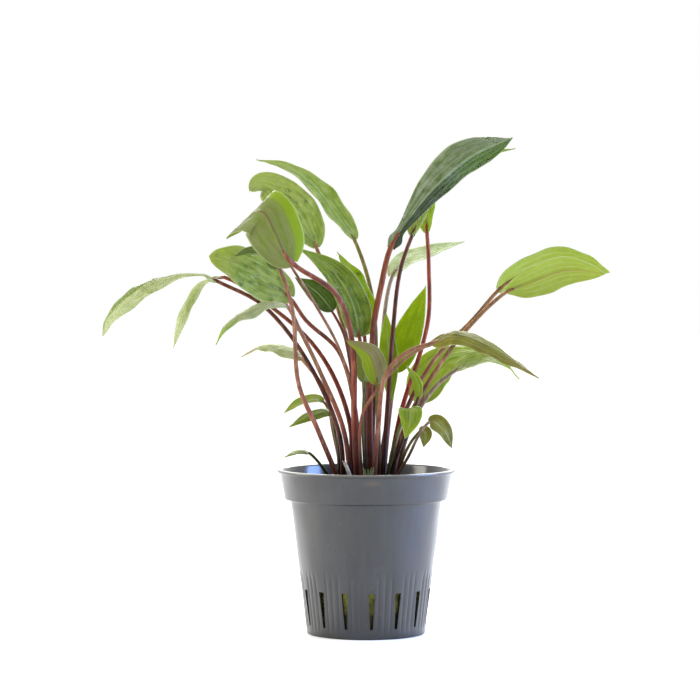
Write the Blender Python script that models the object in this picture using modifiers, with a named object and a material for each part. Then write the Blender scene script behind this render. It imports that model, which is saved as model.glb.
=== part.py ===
# Water plant (cryptocoryne) growing in its grey net pot.
# Frame: metres, +Z up, origin at the centre of the pot's base on the surface it stands on.
# The plant is a rosette: every leaf has a red-brown stalk that rises from a short rootstock, and a blade.
# Small young leaves are one solid each, their thin stalk running straight into the blade.

import math

import bmesh
import bpy
from mathutils import Vector

MM = 0.001
OBJECT_NAME = "cryptocoryne"
GAP = 0.3  # left between neighbouring solids

# Pot, in millimetres: a thin turned cup with a stepped band under its lip
POT_HEIGHT = 48.0
LIP_RADIUS = 26.1
LIP_HEIGHT = 0.9
BAND_TOP_RADIUS = 25.0
BAND_FOOT_RADIUS = 23.8
BAND_FOOT_Z = 39.2
BODY_TOP_RADIUS = 22.1
BASE_RADIUS = 17.2
BASE_CORNER = 1.0
WALL = 0.9
FLOOR = 1.0
TURN_STEPS = 40

# Slots round the pot's foot, and the drain slots in its floor
SLOT_COUNT = 15
SLOT_TURN = -85.3  # degrees, the slot nearest the front
SLOT_LOW = 3.0
SLOT_HIGH = 13.4
SLOT_TOP_WIDTH = 1.9
SLOT_FOOT_WIDTH = 0.8
DRAIN_COUNT = 6
DRAIN_INNER = 6.0
DRAIN_OUTER = 13.0
DRAIN_WIDTH = 1.6

# Growing medium: a mineral wool plug, and the rootstock that sits on it
MEDIUM_TOP = 38.8
MEDIUM_CHAMFER = 0.9
ROOTSTOCK_RADIUS = 10.8
ROOTSTOCK_TOP = 41.6
ROOTSTOCK_STEPS = 20
FOOT_Z = ROOTSTOCK_TOP + GAP  # where every stalk begins

# Leaves in general
BLADE_THICKNESS = 0.5
YOUNG_THICKNESS = 0.8
STALK_FOOT_RADIUS = 0.85
STALK_TOP_RADIUS = 0.6
STALK_POINTS = 8
STALK_END_GAP = 0.8  # between a stalk's end and its blade, measured along the leaf
BLADE_ROWS = 8
BLADE_COLUMNS = 4
YOUNG_STALK_ROWS = 5
YOUNG_BLADE_ROWS = 6
YOUNG_STALK_WIDTH = 1.1
TIP_WIDTH = 0.6
ROUND_BASE = 0.5  # power of the blade's outline at its base
POINTED_TIP = 1.1  # and at its tip
BASE_SHARE = 0.015
SPAN_SAMPLES = 16

# Leaves, in millimetres. foot is where the stalk leaves the rootstock (x, y), stalk lists points on the
# way up, base is where the blade begins, spine and tip follow its midrib, and up lists the directions
# that the blade's upper face looks in, from base to tip. fold lifts both halves by that many degrees.
# lobe is how far the base's lobes reach back, a swell over 1 moves the widest place to the tip, and
# point is the power of the outline at the tip, under 1 for a blunt one.
LEAVES = [
    # 01 slender leaf rising behind, upper left
    {"foot": (1.5, 6), "stalk": [(2, 7, 59), (3, 9, 82.5), (1.5, 13, 100)], "base": (-3.5, 18, 115.5),
     "spine": [(-8.5, 22, 122.5), (-15, 25, 131), (-23.5, 27, 137)], "tip": (-33, 28, 139.5),
     "up": [(0.7, -1, 0.8), (0.1, -0.8, 1)], "width": 8, "fold": 15, "lobe": 0.5},
    # 02 broad leaf at the back left, its tip turned down
    {"foot": (-2.5, 5), "stalk": [(-3, 6, 59), (-5, 9, 82.5), (-10.5, 12, 101.5)], "base": (-15, 15, 113.5),
     "spine": [(-19.5, 19, 122.5), (-25.5, 23, 128.5), (-31, 25, 132)], "tip": (-35, 24, 130),
     "up": [(0.4, -1, 0.5), (0, -1, 0.6), (-0.4, -0.9, 0.3)], "width": 12.5, "fold": 8, "lobe": 1,
     "point": 0.6},
    # 03 large leaf in front, seen from below
    {"foot": (-2.5, -7), "stalk": [(-3.5, -9, 63), (-4, -13, 85), (-8.5, -19, 99)],
     "base": (-21.5, -26, 108.5),
     "spine": [(-25.5, -28, 116), (-29, -27.5, 122), (-33, -21.5, 121)], "tip": (-40, -15, 115),
     "up": [(0.1, 1, 0.1), (0.1, 1, 0.1), (0.3, 0.4, -0.6), (0.4, -0.2, -0.8)],
     "width": 16, "fold": 6, "lobe": 1.5, "point": 0.9},
    # 04 leaf behind it, on the long front stalk
    {"foot": (-7, -6.5), "stalk": [(-14, -10, 60), (-19.5, -13, 73.5), (-21, -19, 94)],
     "base": (-25, -21, 107), "spine": [(-29, -21, 110.5), (-33.5, -20, 111)], "tip": (-37.5, -18, 110),
     "up": [(-0.3, 0.6, 0.8), (-0.1, 0.3, 1)], "width": 8, "fold": 15, "lobe": 0.5},
    # 05 large wet leaf, left
    {"foot": (-3, 1.5), "stalk": [(-3, 1.5, 62), (-7.5, -1, 81.5), (-17.5, -5, 91.5)],
     "base": (-22.5, -7.5, 98.5), "spine": [(-29.5, -10, 103), (-37.5, -13, 107.5)],
     "tip": (-45, -15, 110),
     "up": [(-0.1, -0.9, 0.6), (-0.2, -0.8, 0.7)], "width": 14.5, "fold": 6, "lobe": 1.5, "point": 0.6},
    # 06 long leaf that arches out to the far left
    {"foot": (-6.5, -2.5), "stalk": [(-8, -4, 59), (-17, -5, 79.5), (-29.5, -5, 95.5)],
     "base": (-43.5, -4, 103),
     "spine": [(-47.5, -4.5, 105), (-55.5, -6, 104.5), (-64, -7.5, 101.5), (-70, -8.5, 97),
               (-74.5, -9.5, 92)],
     "tip": (-76, -10, 87),
     "up": [(-0.1, -0.2, 1), (-0.1, -0.4, 0.9), (-0.4, -0.8, 0.5), (-0.9, -0.7, 0.1)],
     "width": 7, "fold": -22, "lobe": 0.5, "swell": 2.2, "point": 0.8},
    # 07 narrow leaf hanging beside it
    {"foot": (-4.5, 0), "stalk": [(-5, 0, 62.5), (-14, 1, 82.5), (-30.5, 2, 97.5)],
     "base": (-41.5, 3, 104), "spine": [(-47, 2, 103), (-51.5, 0, 97.5), (-54, -2, 91.5)],
     "tip": (-56, -4, 83.5),
     "up": [(-0.2, -0.4, 1), (-0.6, -0.8, 0.4), (-0.7, -0.8, 0.1)], "width": 4.2, "fold": -15,
     "lobe": 0.5, "swell": 2},
    # 08 narrow leaf arching to the front left
    {"foot": (-4.5, -4.5), "stalk": [(-6.5, -6, 59.5), (-13.5, -8, 77), (-19.5, -11, 89.5)],
     "base": (-23, -15, 96), "spine": [(-28, -19, 97), (-34, -23, 94.5), (-40, -26, 90)],
     "tip": (-42.5, -28, 85), "up": [(-0.2, -0.4, 0.9), (-0.4, -0.5, 0.8), (-0.8, -0.6, 0.3)],
     "width": 7, "fold": -22, "lobe": 0.5},
    # 09 wet centre leaf leaning left
    {"foot": (0, -1.5), "stalk": [(-0.5, -2.5, 59.5), (-0.5, -3, 71)], "base": (-2, -4, 87),
     "spine": [(-4, -5, 96.5), (-9.5, -6, 105.5)], "tip": (-19.5, -7, 112.5),
     "up": [(0.3, -0.95, 0.2), (0.3, -0.9, 0.4)], "width": 10, "fold": 10, "lobe": 0.5},
    # 10 upright centre leaf behind it
    {"foot": (1.5, 2), "stalk": [(0.5, 2, 59), (0.5, 2, 72.5)], "base": (-0.5, 2, 87.5),
     "spine": [(-1.5, 2, 96), (-4, 3, 104)], "tip": (-8.5, 4, 111.5),
     "up": [(0.4, -0.9, 0.2), (0.5, -0.8, 0.3)], "width": 9, "fold": 10, "lobe": 0.5},
    # 11 pale leaf at the back left, low
    {"foot": (-6, 5), "stalk": [(-9.5, 7, 58.5), (-12, 10, 70)], "base": (-19.5, 17, 80),
     "spine": [(-24.5, 21, 83), (-31, 25, 83.5)], "tip": (-37.5, 28, 80),
     "up": [(0, -0.4, 0.9), (-0.1, -0.2, 1)], "width": 8, "fold": -18, "lobe": 1},
    # 12 tallest leaf, arching to the right
    {"foot": (1.5, -4), "stalk": [(1, -5, 62.5), (2, -7, 88.5), (4.5, -9, 102.5)], "base": (7, -10, 112.5),
     "spine": [(12, -12, 120.5), (20, -13, 130.3), (30.5, -13, 139)], "tip": (42, -12, 144),
     "up": [(-0.2, -1, 0.1), (0.1, -1, -0.1), (0.2, -0.9, -0.2), (0, -0.9, 0.3)],
     "width": 13, "fold": -38, "lobe": 0.3, "swell": 2.6},
    # 13 dark wet leaf under it
    {"foot": (4.5, -1.5), "stalk": [(6, -1, 62.5), (8, 1, 90), (10, 3, 106)], "base": (14, 4, 117.5),
     "spine": [(17.5, 5, 125.5), (25.5, 4, 133.5), (35, 2, 139.5)], "tip": (43.5, 0, 141.5),
     "up": [(-0.6, -0.5, 0.6), (-0.5, -0.5, 0.8), (0.1, -0.6, 1)], "width": 9.5, "fold": 12, "lobe": 1.5},
    # 14 leaf behind both, on the red stalk
    {"foot": (6.3, 0.9), "stalk": [(10, 1.5, 63.5), (18, 4, 90), (18.5, 8, 108.5)], "base": (18, 10, 119),
     "spine": [(18.5, 13, 126), (22, 16, 132)], "tip": (27, 19, 138),
     "up": [(-0.6, -0.5, 0.6), (-0.5, -0.6, 0.7)], "width": 7, "fold": 15, "lobe": 2},
    # 15 pale leaf reaching back to the right
    {"foot": (3, 7.5), "stalk": [(3.5, 10, 59), (5, 18, 85.5), (6.5, 24, 98.5)], "base": (9, 28, 106),
     "spine": [(14, 33, 110), (21.5, 38, 112.5)], "tip": (30.5, 43, 115),
     "up": [(-0.1, -0.6, 0.8), (0, -0.5, 0.8)], "width": 7.5, "fold": 8, "lobe": 3},
    # 16 bright upright leaf, back right
    {"foot": (5, 5), "stalk": [(7, 8, 63.5)], "base": (9, 11, 76),
     "spine": [(11.5, 13, 84), (14.8, 15, 93)], "tip": (18, 18, 101.5),
     "up": [(-0.2, -1, 0.1), (-0.1, -1, 0.2)], "width": 9, "fold": 8, "lobe": 0.2},
    # 17 front leaf arching low to the right
    {"foot": (2, -8.5), "stalk": [(3.5, -11, 61.5), (5.5, -15, 76), (11.5, -16.5, 82.5)],
     "base": (19.5, -18, 85.5), "spine": [(25.5, -20, 88), (35, -23, 84.5), (42, -25, 80)],
     "tip": (48.5, -27, 75.5), "up": [(0, -0.5, 0.85), (0.3, -0.4, 0.85)], "width": 9, "fold": -18,
     "lobe": 1},
    # 18 broad pale leaf behind, right
    {"foot": (6.5, 5.5), "stalk": [(11.5, 9, 59)], "base": (16.5, 12, 67.5),
     "spine": [(19.5, 15, 75), (25, 17, 80), (34, 18, 81.5), (41, 18, 79)], "tip": (46, 18, 73.5),
     "up": [(-0.6, -0.8, 0.3), (-0.3, -0.7, 0.6), (0.1, -0.3, 1), (0.6, -0.2, 0.8)],
     "width": 14, "fold": 5, "lobe": 1, "point": 2},
    # 19 lower right leaf
    {"foot": (8.8, -0.4), "stalk": [(12, -0.5, 58), (19, 0.5, 70.5)], "base": (26.5, 1, 77),
     "spine": [(31.5, 0, 79), (37.5, -2, 80)], "tip": (42.5, -3, 77),
     "up": [(0, -0.5, 1), (0.5, -0.5, 0.8)], "width": 9, "fold": 12, "lobe": 0.5},
    # 20 and 21 the two leaves that reach far right side by side
    {"foot": (6, 3), "stalk": [(10, 4, 60.5), (19.5, 6, 79), (31.5, 8, 91.5)], "base": (41, 9, 102),
     "spine": [(48.5, 10, 106), (59, 10, 108.8)], "tip": (72, 9, 105.5),
     "up": [(-0.2, 0.8, 0.6), (0.2, 0.8, 0.6)], "width": 12.5, "fold": -8, "lobe": 3, "point": 0.8},
    {"foot": (7, -2.5), "stalk": [(11.5, -3, 61), (23, -4, 81), (33, -5, 93)], "base": (41, -6, 100),
     "spine": [(47.5, -7, 102.5), (57.5, -8, 106)], "tip": (69, -9, 105),
     "up": [(-0.2, 0.85, 0.5), (0.2, 0.85, 0.5)], "width": 11, "fold": -8, "lobe": 0.5, "swell": 1.2,
     "point": 0.9},
    # 22 small leaf in front of the centre
    {"foot": (3.5, -6), "stalk": [(3.5, -8.5, 60)], "base": (3, -10.5, 73.5),
     "spine": [(2.5, -12, 78.5), (0.5, -14.5, 82.5)], "tip": (-6, -17, 86),
     "up": [(-0.3, 0.8, 0.4), (-0.5, 0.6, 0.6)], "width": 7, "fold": 10, "lobe": 0.5},
]

# Young leaves, in the same terms
YOUNG_LEAVES = [
    # 01 behind the large front leaf
    {"foot": (-1.5, -2), "stalk": [(-3, -3, 65.5), (-7.5, -6, 82.5), (-15.5, -10, 97.5)],
     "base": (-21.5, -13, 107), "spine": [(-24.5, -13, 112.5), (-26.5, -11, 118)], "tip": (-27, -8, 123.5),
     "up": [(0.4, 0.8, 0.4), (0, 0.8, 0.4)], "width": 6, "fold": 10},
    # 02 dark leaf behind the centre left
    {"foot": (-4.5, 3.5), "stalk": [(-3.5, 4, 65), (-6, 5, 85.5)], "base": (-10, 6, 94),
     "spine": [(-14.5, 7, 99.5)], "tip": (-21, 8, 104), "up": [(0.4, -0.9, 0.4)], "width": 8, "fold": 8},
    # 03 bright narrow leaf behind the centre right
    {"foot": (3.5, 2), "stalk": [(5, 4, 56)], "base": (7, 6, 67), "spine": [(7, 9, 76), (6.5, 11, 84)],
     "tip": (6, 13, 93.5), "up": [(0, -1, 0.1)], "width": 5.5, "fold": 8, "swell": 1.7},
    # 04 under the low front leaf
    {"foot": (-1, -9), "stalk": [(-1.5, -11.2, 63), (3.5, -12, 72), (10.5, -12.5, 80)],
     "base": (17, -11, 84), "spine": [(24.5, -12, 86.5), (32, -13, 85)], "tip": (38.5, -14, 81.5),
     "up": [(0, -0.3, 1)], "width": 5, "fold": 15},
    # 05 small olive leaf in the centre
    {"foot": (0, -5.5), "stalk": [(-1, -6.5, 61)], "base": (-0.5, -7.5, 73.5), "spine": [(-0.5, -8.5, 78.5)],
     "tip": (-3, -10, 83), "up": [(-0.2, 0.8, 0.4)], "width": 5, "fold": 10},
    # 06 heart-shaped leaf bowed to the front
    {"foot": (5.5, -6), "stalk": [(8.5, -9, 57)], "base": (12, -13, 66), "spine": [(12.5, -18, 63.5)],
     "tip": (11, -20, 58), "up": [(0, -0.3, 1), (0, -0.95, 0.4), (0, -1, 0.2)], "width": 7, "fold": 12},
    # 07 olive leaf hanging to the right
    {"foot": (7, -7), "stalk": [(12, -10, 52)], "base": (18, -15, 62.5), "spine": [(22, -16, 60.5)],
     "tip": (24.5, -16, 55), "up": [(0.3, -0.8, 0.6)], "width": 6, "fold": 4},
    # 08 its small neighbour
    {"foot": (8, -4.5), "stalk": [(11.5, -7, 53.5)], "base": (15.5, -9, 59.5), "spine": [(17, -10, 59)],
     "tip": (16.5, -11, 55), "up": [(0.1, -0.9, 0.4)], "width": 4, "fold": 8},
    # 09 narrow dark leaf, right of the centre
    {"foot": (5.5, -3.5), "stalk": [(10.5, -6, 56.5)], "base": (15, -7, 69), "spine": [(15, -7, 73.5)],
     "tip": (11.5, -6.5, 78.5), "up": [(-0.7, -0.7, 0.1)], "width": 3.5, "fold": 8},
    # 10 bright leaf low on the left
    {"foot": (-7.5, 2), "stalk": [(-9, 3, 57.5)], "base": (-12.5, 3, 67.5), "spine": [(-18.5, 1, 67.5)],
     "tip": (-24, -2, 64.5), "up": [(-0.1, -0.5, 0.8)], "width": 5, "fold": 12},
    # 11 dark leaf under it
    {"foot": (-8, -0.5), "stalk": [(-8, -1, 54)], "base": (-10, -2, 64), "spine": [(-16, -4, 64)],
     "tip": (-22.5, -6, 60.5), "up": [(-0.1, -0.6, 0.8)], "width": 5, "fold": -12},
    # 12 lowest leaf, just over the pot's rim
    {"foot": (-9, -3.5), "stalk": [(-11.5, -4.5, 47)], "base": (-16.5, -6, 53), "spine": [(-20, -7, 53.5)],
     "tip": (-23.5, -8, 52), "up": [(-0.1, -0.3, 1)], "width": 3.5, "fold": -12},
]

# Route of the old stalk's cut stub
OLD_STUB = [(-3.2, -9.2, FOOT_Z), (-4.4, -10.6, 46), (-6.2, -11.2, 50.5)]


def new_collection(name):
    collection = bpy.data.collections.new(name)
    bpy.context.scene.collection.children.link(collection)
    return collection


def plain_material(name, colour, roughness):
    material = bpy.data.materials.new(name)
    material.use_nodes = True
    shader = material.node_tree.nodes["Principled BSDF"]
    shader.inputs["Base Color"].default_value = (*colour, 1.0)
    shader.inputs["Roughness"].default_value = roughness
    shader.inputs["Metallic"].default_value = 0.0
    material.diffuse_color = (*colour, 1.0)
    return material


def new_object(name, data, collection, material=None):
    thing = bpy.data.objects.new(name, data)
    collection.objects.link(thing)
    if material:
        data.materials.append(material)
    return thing


def turned_piece(name, profile, steps, collection, material):
    """A closed shape turned about Z; the profile (radius, z) begins and ends on the axis."""
    mesh = bpy.data.meshes.new(name)
    points = [(radius * MM, 0.0, z * MM) for radius, z in profile]
    mesh.from_pydata(points, [(i, i + 1) for i in range(len(points) - 1)], [])
    piece = new_object(name, mesh, collection, material)
    screw = piece.modifiers.new("turn", "SCREW")
    screw.axis = "Z"
    screw.angle = math.tau
    screw.steps = steps
    screw.render_steps = steps
    screw.use_merge_vertices = True
    screw.merge_threshold = 0.00001
    screw.use_smooth_shade = False
    return piece


def body_radius(z):
    return BASE_RADIUS + (BODY_TOP_RADIUS - BASE_RADIUS) * z / BAND_FOOT_Z


def wedge_cutter(name, wedges, collection):
    """One cutter holding separate wedges, each with its radii, heights, widths and turn about Z."""
    mesh = bpy.data.meshes.new(name)
    body = bmesh.new()
    for wedge in wedges:
        cube = bmesh.ops.create_cube(body, size=1.0)["verts"]
        for vertex in cube:
            high = vertex.co.z > 0
            width = wedge["top_width"] if high else wedge["foot_width"]
            along = wedge["outer"] if vertex.co.x > 0 else wedge["inner"]
            across = math.copysign(width / 2, vertex.co.y)
            level = wedge["high"] if high else wedge["low"]
            turn = math.radians(wedge["turn"])
            vertex.co = Vector((
                (along * math.cos(turn) - across * math.sin(turn)) * MM,
                (along * math.sin(turn) + across * math.cos(turn)) * MM,
                level * MM,
            ))
    body.to_mesh(mesh)
    body.free()
    cutter = new_object(name, mesh, collection)
    cutter.hide_render = True
    cutter.display_type = "WIRE"
    return cutter


def make_pot(collection, cutters, material):
    inner_base = BASE_RADIUS - WALL
    step_z = BAND_FOOT_Z + WALL
    profile = [
        (0.0, FLOOR),
        (inner_base - BASE_CORNER, FLOOR),
        (inner_base, FLOOR + BASE_CORNER),
        (body_radius(step_z) - WALL, step_z),
        (BAND_FOOT_RADIUS - WALL, step_z + 0.3),
        (BAND_TOP_RADIUS - WALL, POT_HEIGHT - LIP_HEIGHT),
        (BAND_TOP_RADIUS - 0.6, POT_HEIGHT),
        (LIP_RADIUS - 0.3, POT_HEIGHT),
        (LIP_RADIUS, POT_HEIGHT - 0.3),
        (LIP_RADIUS, POT_HEIGHT - LIP_HEIGHT),
        (BAND_TOP_RADIUS, POT_HEIGHT - LIP_HEIGHT - 0.4),
        (BAND_FOOT_RADIUS, BAND_FOOT_Z + 0.6),
        (BAND_FOOT_RADIUS - 0.6, BAND_FOOT_Z),
        (BODY_TOP_RADIUS, BAND_FOOT_Z - 0.2),
        (body_radius(BASE_CORNER), BASE_CORNER),
        (BASE_RADIUS - BASE_CORNER, 0.0),
        (0.0, 0.0),
    ]
    pot = turned_piece("pot", profile, TURN_STEPS, collection, material)
    wedges = []
    for i in range(SLOT_COUNT):
        wedges.append({
            "turn": SLOT_TURN + 360.0 * i / SLOT_COUNT, "inner": BASE_RADIUS - 3 * WALL,
            "outer": BASE_RADIUS + 4 * WALL, "low": SLOT_LOW, "high": SLOT_HIGH,
            "foot_width": SLOT_FOOT_WIDTH, "top_width": SLOT_TOP_WIDTH,
        })
    for i in range(DRAIN_COUNT):
        wedges.append({
            "turn": 360.0 * i / DRAIN_COUNT, "inner": DRAIN_INNER, "outer": DRAIN_OUTER,
            "low": -FLOOR, "high": 2 * FLOOR, "foot_width": DRAIN_WIDTH, "top_width": DRAIN_WIDTH,
        })
    cut = pot.modifiers.new("slots", "BOOLEAN")
    cut.operation = "DIFFERENCE"
    cut.object = wedge_cutter("pot_slots", wedges, cutters)
    return pot


def make_medium(collection, material):
    low = FLOOR + GAP
    reach = BASE_RADIUS - WALL - GAP
    profile = [
        (0.0, MEDIUM_TOP),
        (body_radius(MEDIUM_TOP) - WALL - GAP - MEDIUM_CHAMFER, MEDIUM_TOP),
        (body_radius(MEDIUM_TOP - MEDIUM_CHAMFER) - WALL - GAP, MEDIUM_TOP - MEDIUM_CHAMFER),
        (reach, low + BASE_CORNER),
        (reach - BASE_CORNER, low),
        (0.0, low),
    ]
    return turned_piece("growing_medium", profile, TURN_STEPS, collection, material)


def make_rootstock(collection, material):
    low = MEDIUM_TOP + GAP
    profile = [
        (0.0, ROOTSTOCK_TOP),
        (ROOTSTOCK_RADIUS - 0.8, ROOTSTOCK_TOP),
        (ROOTSTOCK_RADIUS, ROOTSTOCK_TOP - 0.9),
        (ROOTSTOCK_RADIUS - 0.6, low),
        (0.0, low),
    ]
    return turned_piece("rootstock", profile, ROOTSTOCK_STEPS, collection, material)


def curve_between(before, start, end, after, share):
    """One span of a smooth curve through start and end, its slopes taken from the points either side."""
    reach = (end - start).length
    slope_in = (end - before).normalized() * reach
    slope_out = (after - start).normalized() * reach
    s2 = share * share
    s3 = s2 * share
    return (
        start * (2 * s3 - 3 * s2 + 1) + slope_in * (s3 - 2 * s2 + share)
        + end * (3 * s2 - 2 * s3) + slope_out * (s3 - s2)
    )


def smooth_route(leaf):
    """Points along a leaf from foot to tip, and how many of them belong to the stalk."""
    foot = Vector((leaf["foot"][0], leaf["foot"][1], FOOT_Z))
    below = foot - Vector((0, 0, 5))
    tip = Vector(leaf["tip"])
    places = [foot, *map(Vector, leaf["stalk"]), Vector(leaf["base"]), *map(Vector, leaf["spine"]), tip]
    beyond = tip + (tip - places[-2])
    framed = [below, *places, beyond]
    route = []
    for i in range(len(places) - 1):
        for step in range(SPAN_SAMPLES):
            route.append(curve_between(*framed[i:i + 4], step / SPAN_SAMPLES))
    route.append(tip)
    return route, (len(leaf["stalk"]) + 1) * SPAN_SAMPLES


def spread_evenly(route, start, end, count):
    """count + 1 points evenly along a route between two lengths; a negative end counts from its far end."""
    lengths = [0.0]
    for before, after in zip(route, route[1:]):
        lengths.append(lengths[-1] + (after - before).length)
    last = end if end > 0 else lengths[-1] + end
    points = []
    index = 0
    for i in range(count + 1):
        goal = start + (last - start) * i / count
        while index < len(route) - 2 and lengths[index + 1] < goal:
            index += 1
        share = (goal - lengths[index]) / (lengths[index + 1] - lengths[index])
        points.append(route[index].lerp(route[index + 1], share))
    return points


def half_width(leaf, along):
    """Half the blade's width at a share of its length: round at the base, drawn out at the tip."""
    place = BASE_SHARE + (1 - BASE_SHARE) * along ** leaf.get("swell", 1)
    point = leaf.get("point", POINTED_TIP)
    broadest = ROUND_BASE / (ROUND_BASE + point)
    peak = broadest ** ROUND_BASE * (1 - broadest) ** point
    share = place ** ROUND_BASE * (1 - place) ** point / peak
    return max(leaf["width"] / 2 * share, TIP_WIDTH / 2)


def face_direction(leaf, along):
    ups = [Vector(up).normalized() for up in leaf["up"]]
    if len(ups) == 1:
        return ups[0]
    place = along * (len(ups) - 1)
    index = min(int(place), len(ups) - 2)
    return ups[index].lerp(ups[index + 1], place - index)


def blade_point(leaf, spine, row, along, across):
    """A point on a blade, at a share along its spine and from -1 to 1 across it."""
    ahead = spine[min(row + 1, len(spine) - 1)]
    behind = spine[max(row - 1, 0)]
    tangent = (ahead - behind).normalized()
    up = face_direction(leaf, along)
    up = (up - tangent * up.dot(tangent)).normalized()
    side = tangent.cross(up)
    reach = abs(across) * half_width(leaf, along)
    fold = math.radians(leaf["fold"])
    back = leaf.get("lobe", 0) * across * across * (1 - along) ** 4
    return (
        spine[row] + side * math.copysign(reach * math.cos(fold), across)
        + up * reach * math.sin(fold) - tangent * back
    )


def sheet(name, rows, thickness, collection, material):
    """A grid whose rows of points are given in millimetres, thickened on both sides."""
    mesh = bpy.data.meshes.new(name)
    body = bmesh.new()
    bmesh.ops.create_grid(body, x_segments=len(rows) - 1, y_segments=len(rows[0]) - 1, size=1.0)
    for vertex in body.verts:
        row = round((vertex.co.x + 1) / 2 * (len(rows) - 1))
        column = round((vertex.co.y + 1) / 2 * (len(rows[0]) - 1))
        vertex.co = rows[row][column] * MM
    body.to_mesh(mesh)
    body.free()
    piece = new_object(name, mesh, collection, material)
    solid = piece.modifiers.new("thickness", "SOLIDIFY")
    solid.thickness = thickness * MM
    solid.offset = 0.0
    solid.use_even_offset = False
    return piece


def make_blade(name, leaf, collection, material):
    route, stalk_count = smooth_route(leaf)
    spine = spread_evenly(route[stalk_count:], 0.0, -0.0001, BLADE_ROWS)
    rows = []
    for i in range(BLADE_ROWS + 1):
        along = i / BLADE_ROWS
        across = [2 * j / BLADE_COLUMNS - 1 for j in range(BLADE_COLUMNS + 1)]
        rows.append([blade_point(leaf, spine, i, along, side) for side in across])
    return sheet(name, rows, BLADE_THICKNESS, collection, material)


def make_stalk(name, leaf, collection, material):
    route, stalk_count = smooth_route(leaf)
    points = spread_evenly(route[:stalk_count + 1], 0.0, -STALK_END_GAP, STALK_POINTS - 1)
    curve = bpy.data.curves.new(name, "CURVE")
    curve.dimensions = "3D"
    curve.bevel_depth = MM
    curve.bevel_resolution = 1
    curve.use_fill_caps = True
    line = curve.splines.new("POLY")
    line.points.add(STALK_POINTS - 1)
    for i, point in enumerate(points):
        line.points[i].co = (*(point * MM), 1.0)
        share = i / (STALK_POINTS - 1)
        line.points[i].radius = STALK_FOOT_RADIUS + (STALK_TOP_RADIUS - STALK_FOOT_RADIUS) * share
    return new_object(name, curve, collection, material)


def make_old_stub(collection, material):
    """The cut end of an old stalk, leaning out in front of the rootstock."""
    curve = bpy.data.curves.new("old_stub", "CURVE")
    curve.dimensions = "3D"
    curve.bevel_depth = MM
    curve.bevel_resolution = 1
    curve.use_fill_caps = True
    line = curve.splines.new("POLY")
    line.points.add(len(OLD_STUB) - 1)
    for i, point in enumerate(OLD_STUB):
        line.points[i].co = (*(Vector(point) * MM), 1.0)
        line.points[i].radius = STALK_TOP_RADIUS
    return new_object("old_stub", curve, collection, material)


def make_young_leaf(name, leaf, collection, material):
    route, stalk_count = smooth_route(leaf)
    stalk = spread_evenly(route[:stalk_count + 1], 0.0, -0.0001, YOUNG_STALK_ROWS)
    blade = spread_evenly(route[stalk_count:], 0.0, -0.0001, YOUNG_BLADE_ROWS)
    spine = stalk[:-1] + blade
    narrow = {"up": leaf["up"][:1], "width": 0, "fold": 0}
    rows = []
    for i in range(len(spine)):
        on_stalk = i < YOUNG_STALK_ROWS
        along = 0.0 if on_stalk else (i - YOUNG_STALK_ROWS) / YOUNG_BLADE_ROWS
        shape = {**narrow, "width": YOUNG_STALK_WIDTH} if on_stalk else leaf
        if on_stalk:
            along = ROUND_BASE / (ROUND_BASE + POINTED_TIP)
        rows.append([blade_point(shape, spine, i, along, side) for side in (-1.0, 0.0, 1.0)])
    return sheet(name, rows, YOUNG_THICKNESS, collection, material)


def main():
    for thing in list(bpy.data.objects):
        bpy.data.objects.remove(thing, do_unlink=True)
    parts = new_collection(OBJECT_NAME)
    cutters = new_collection("cutters")

    grey_plastic = plain_material("grey_plastic", (0.14, 0.14, 0.14), 0.4)
    mineral_wool = plain_material("mineral_wool", (0.24, 0.21, 0.09), 0.95)
    root_brown = plain_material("root_brown", (0.10, 0.05, 0.025), 0.8)
    stalk_red = plain_material("stalk_red", (0.23, 0.06, 0.04), 0.4)
    leaf_green = plain_material("leaf_green", (0.17, 0.33, 0.05), 0.35)
    dry_grey = plain_material("dry_grey", (0.42, 0.40, 0.36), 0.8)
    young_green = plain_material("young_green", (0.22, 0.40, 0.06), 0.35)

    make_pot(parts, cutters, grey_plastic)
    make_medium(parts, mineral_wool)
    make_rootstock(parts, root_brown)
    make_old_stub(parts, dry_grey)
    for i, leaf in enumerate(LEAVES, start=1):
        make_stalk(f"stalk_{i:02d}", leaf, parts, stalk_red)
        make_blade(f"leaf_{i:02d}", leaf, parts, leaf_green)
    for i, leaf in enumerate(YOUNG_LEAVES, start=1):
        make_young_leaf(f"young_leaf_{i:02d}", leaf, parts, young_green)


main()
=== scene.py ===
import math

import bmesh
import bpy
import numpy as np
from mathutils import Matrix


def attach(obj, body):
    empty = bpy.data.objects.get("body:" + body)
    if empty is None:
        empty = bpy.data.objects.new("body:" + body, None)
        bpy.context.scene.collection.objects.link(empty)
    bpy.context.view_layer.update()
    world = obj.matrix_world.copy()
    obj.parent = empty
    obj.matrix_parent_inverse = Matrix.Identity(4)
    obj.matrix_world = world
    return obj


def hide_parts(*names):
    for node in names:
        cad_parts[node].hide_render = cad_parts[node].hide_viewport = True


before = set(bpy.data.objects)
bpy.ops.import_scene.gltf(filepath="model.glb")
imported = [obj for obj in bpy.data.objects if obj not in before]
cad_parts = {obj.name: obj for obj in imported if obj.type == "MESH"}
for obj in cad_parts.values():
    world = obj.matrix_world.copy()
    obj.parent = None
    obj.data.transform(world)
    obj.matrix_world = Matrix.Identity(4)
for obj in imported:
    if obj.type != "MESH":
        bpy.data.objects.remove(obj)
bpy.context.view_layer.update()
mm = 0.001
print("frame loaded:", len(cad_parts), "nodes")


def toLinear(text):
    channels = [int(text[i:i + 2], 16) / 255 for i in (1, 3, 5)]
    return [c / 12.92 if c <= 0.04045 else ((c + 0.055) / 1.055) ** 2.4 for c in channels] + [1.0]


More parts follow.
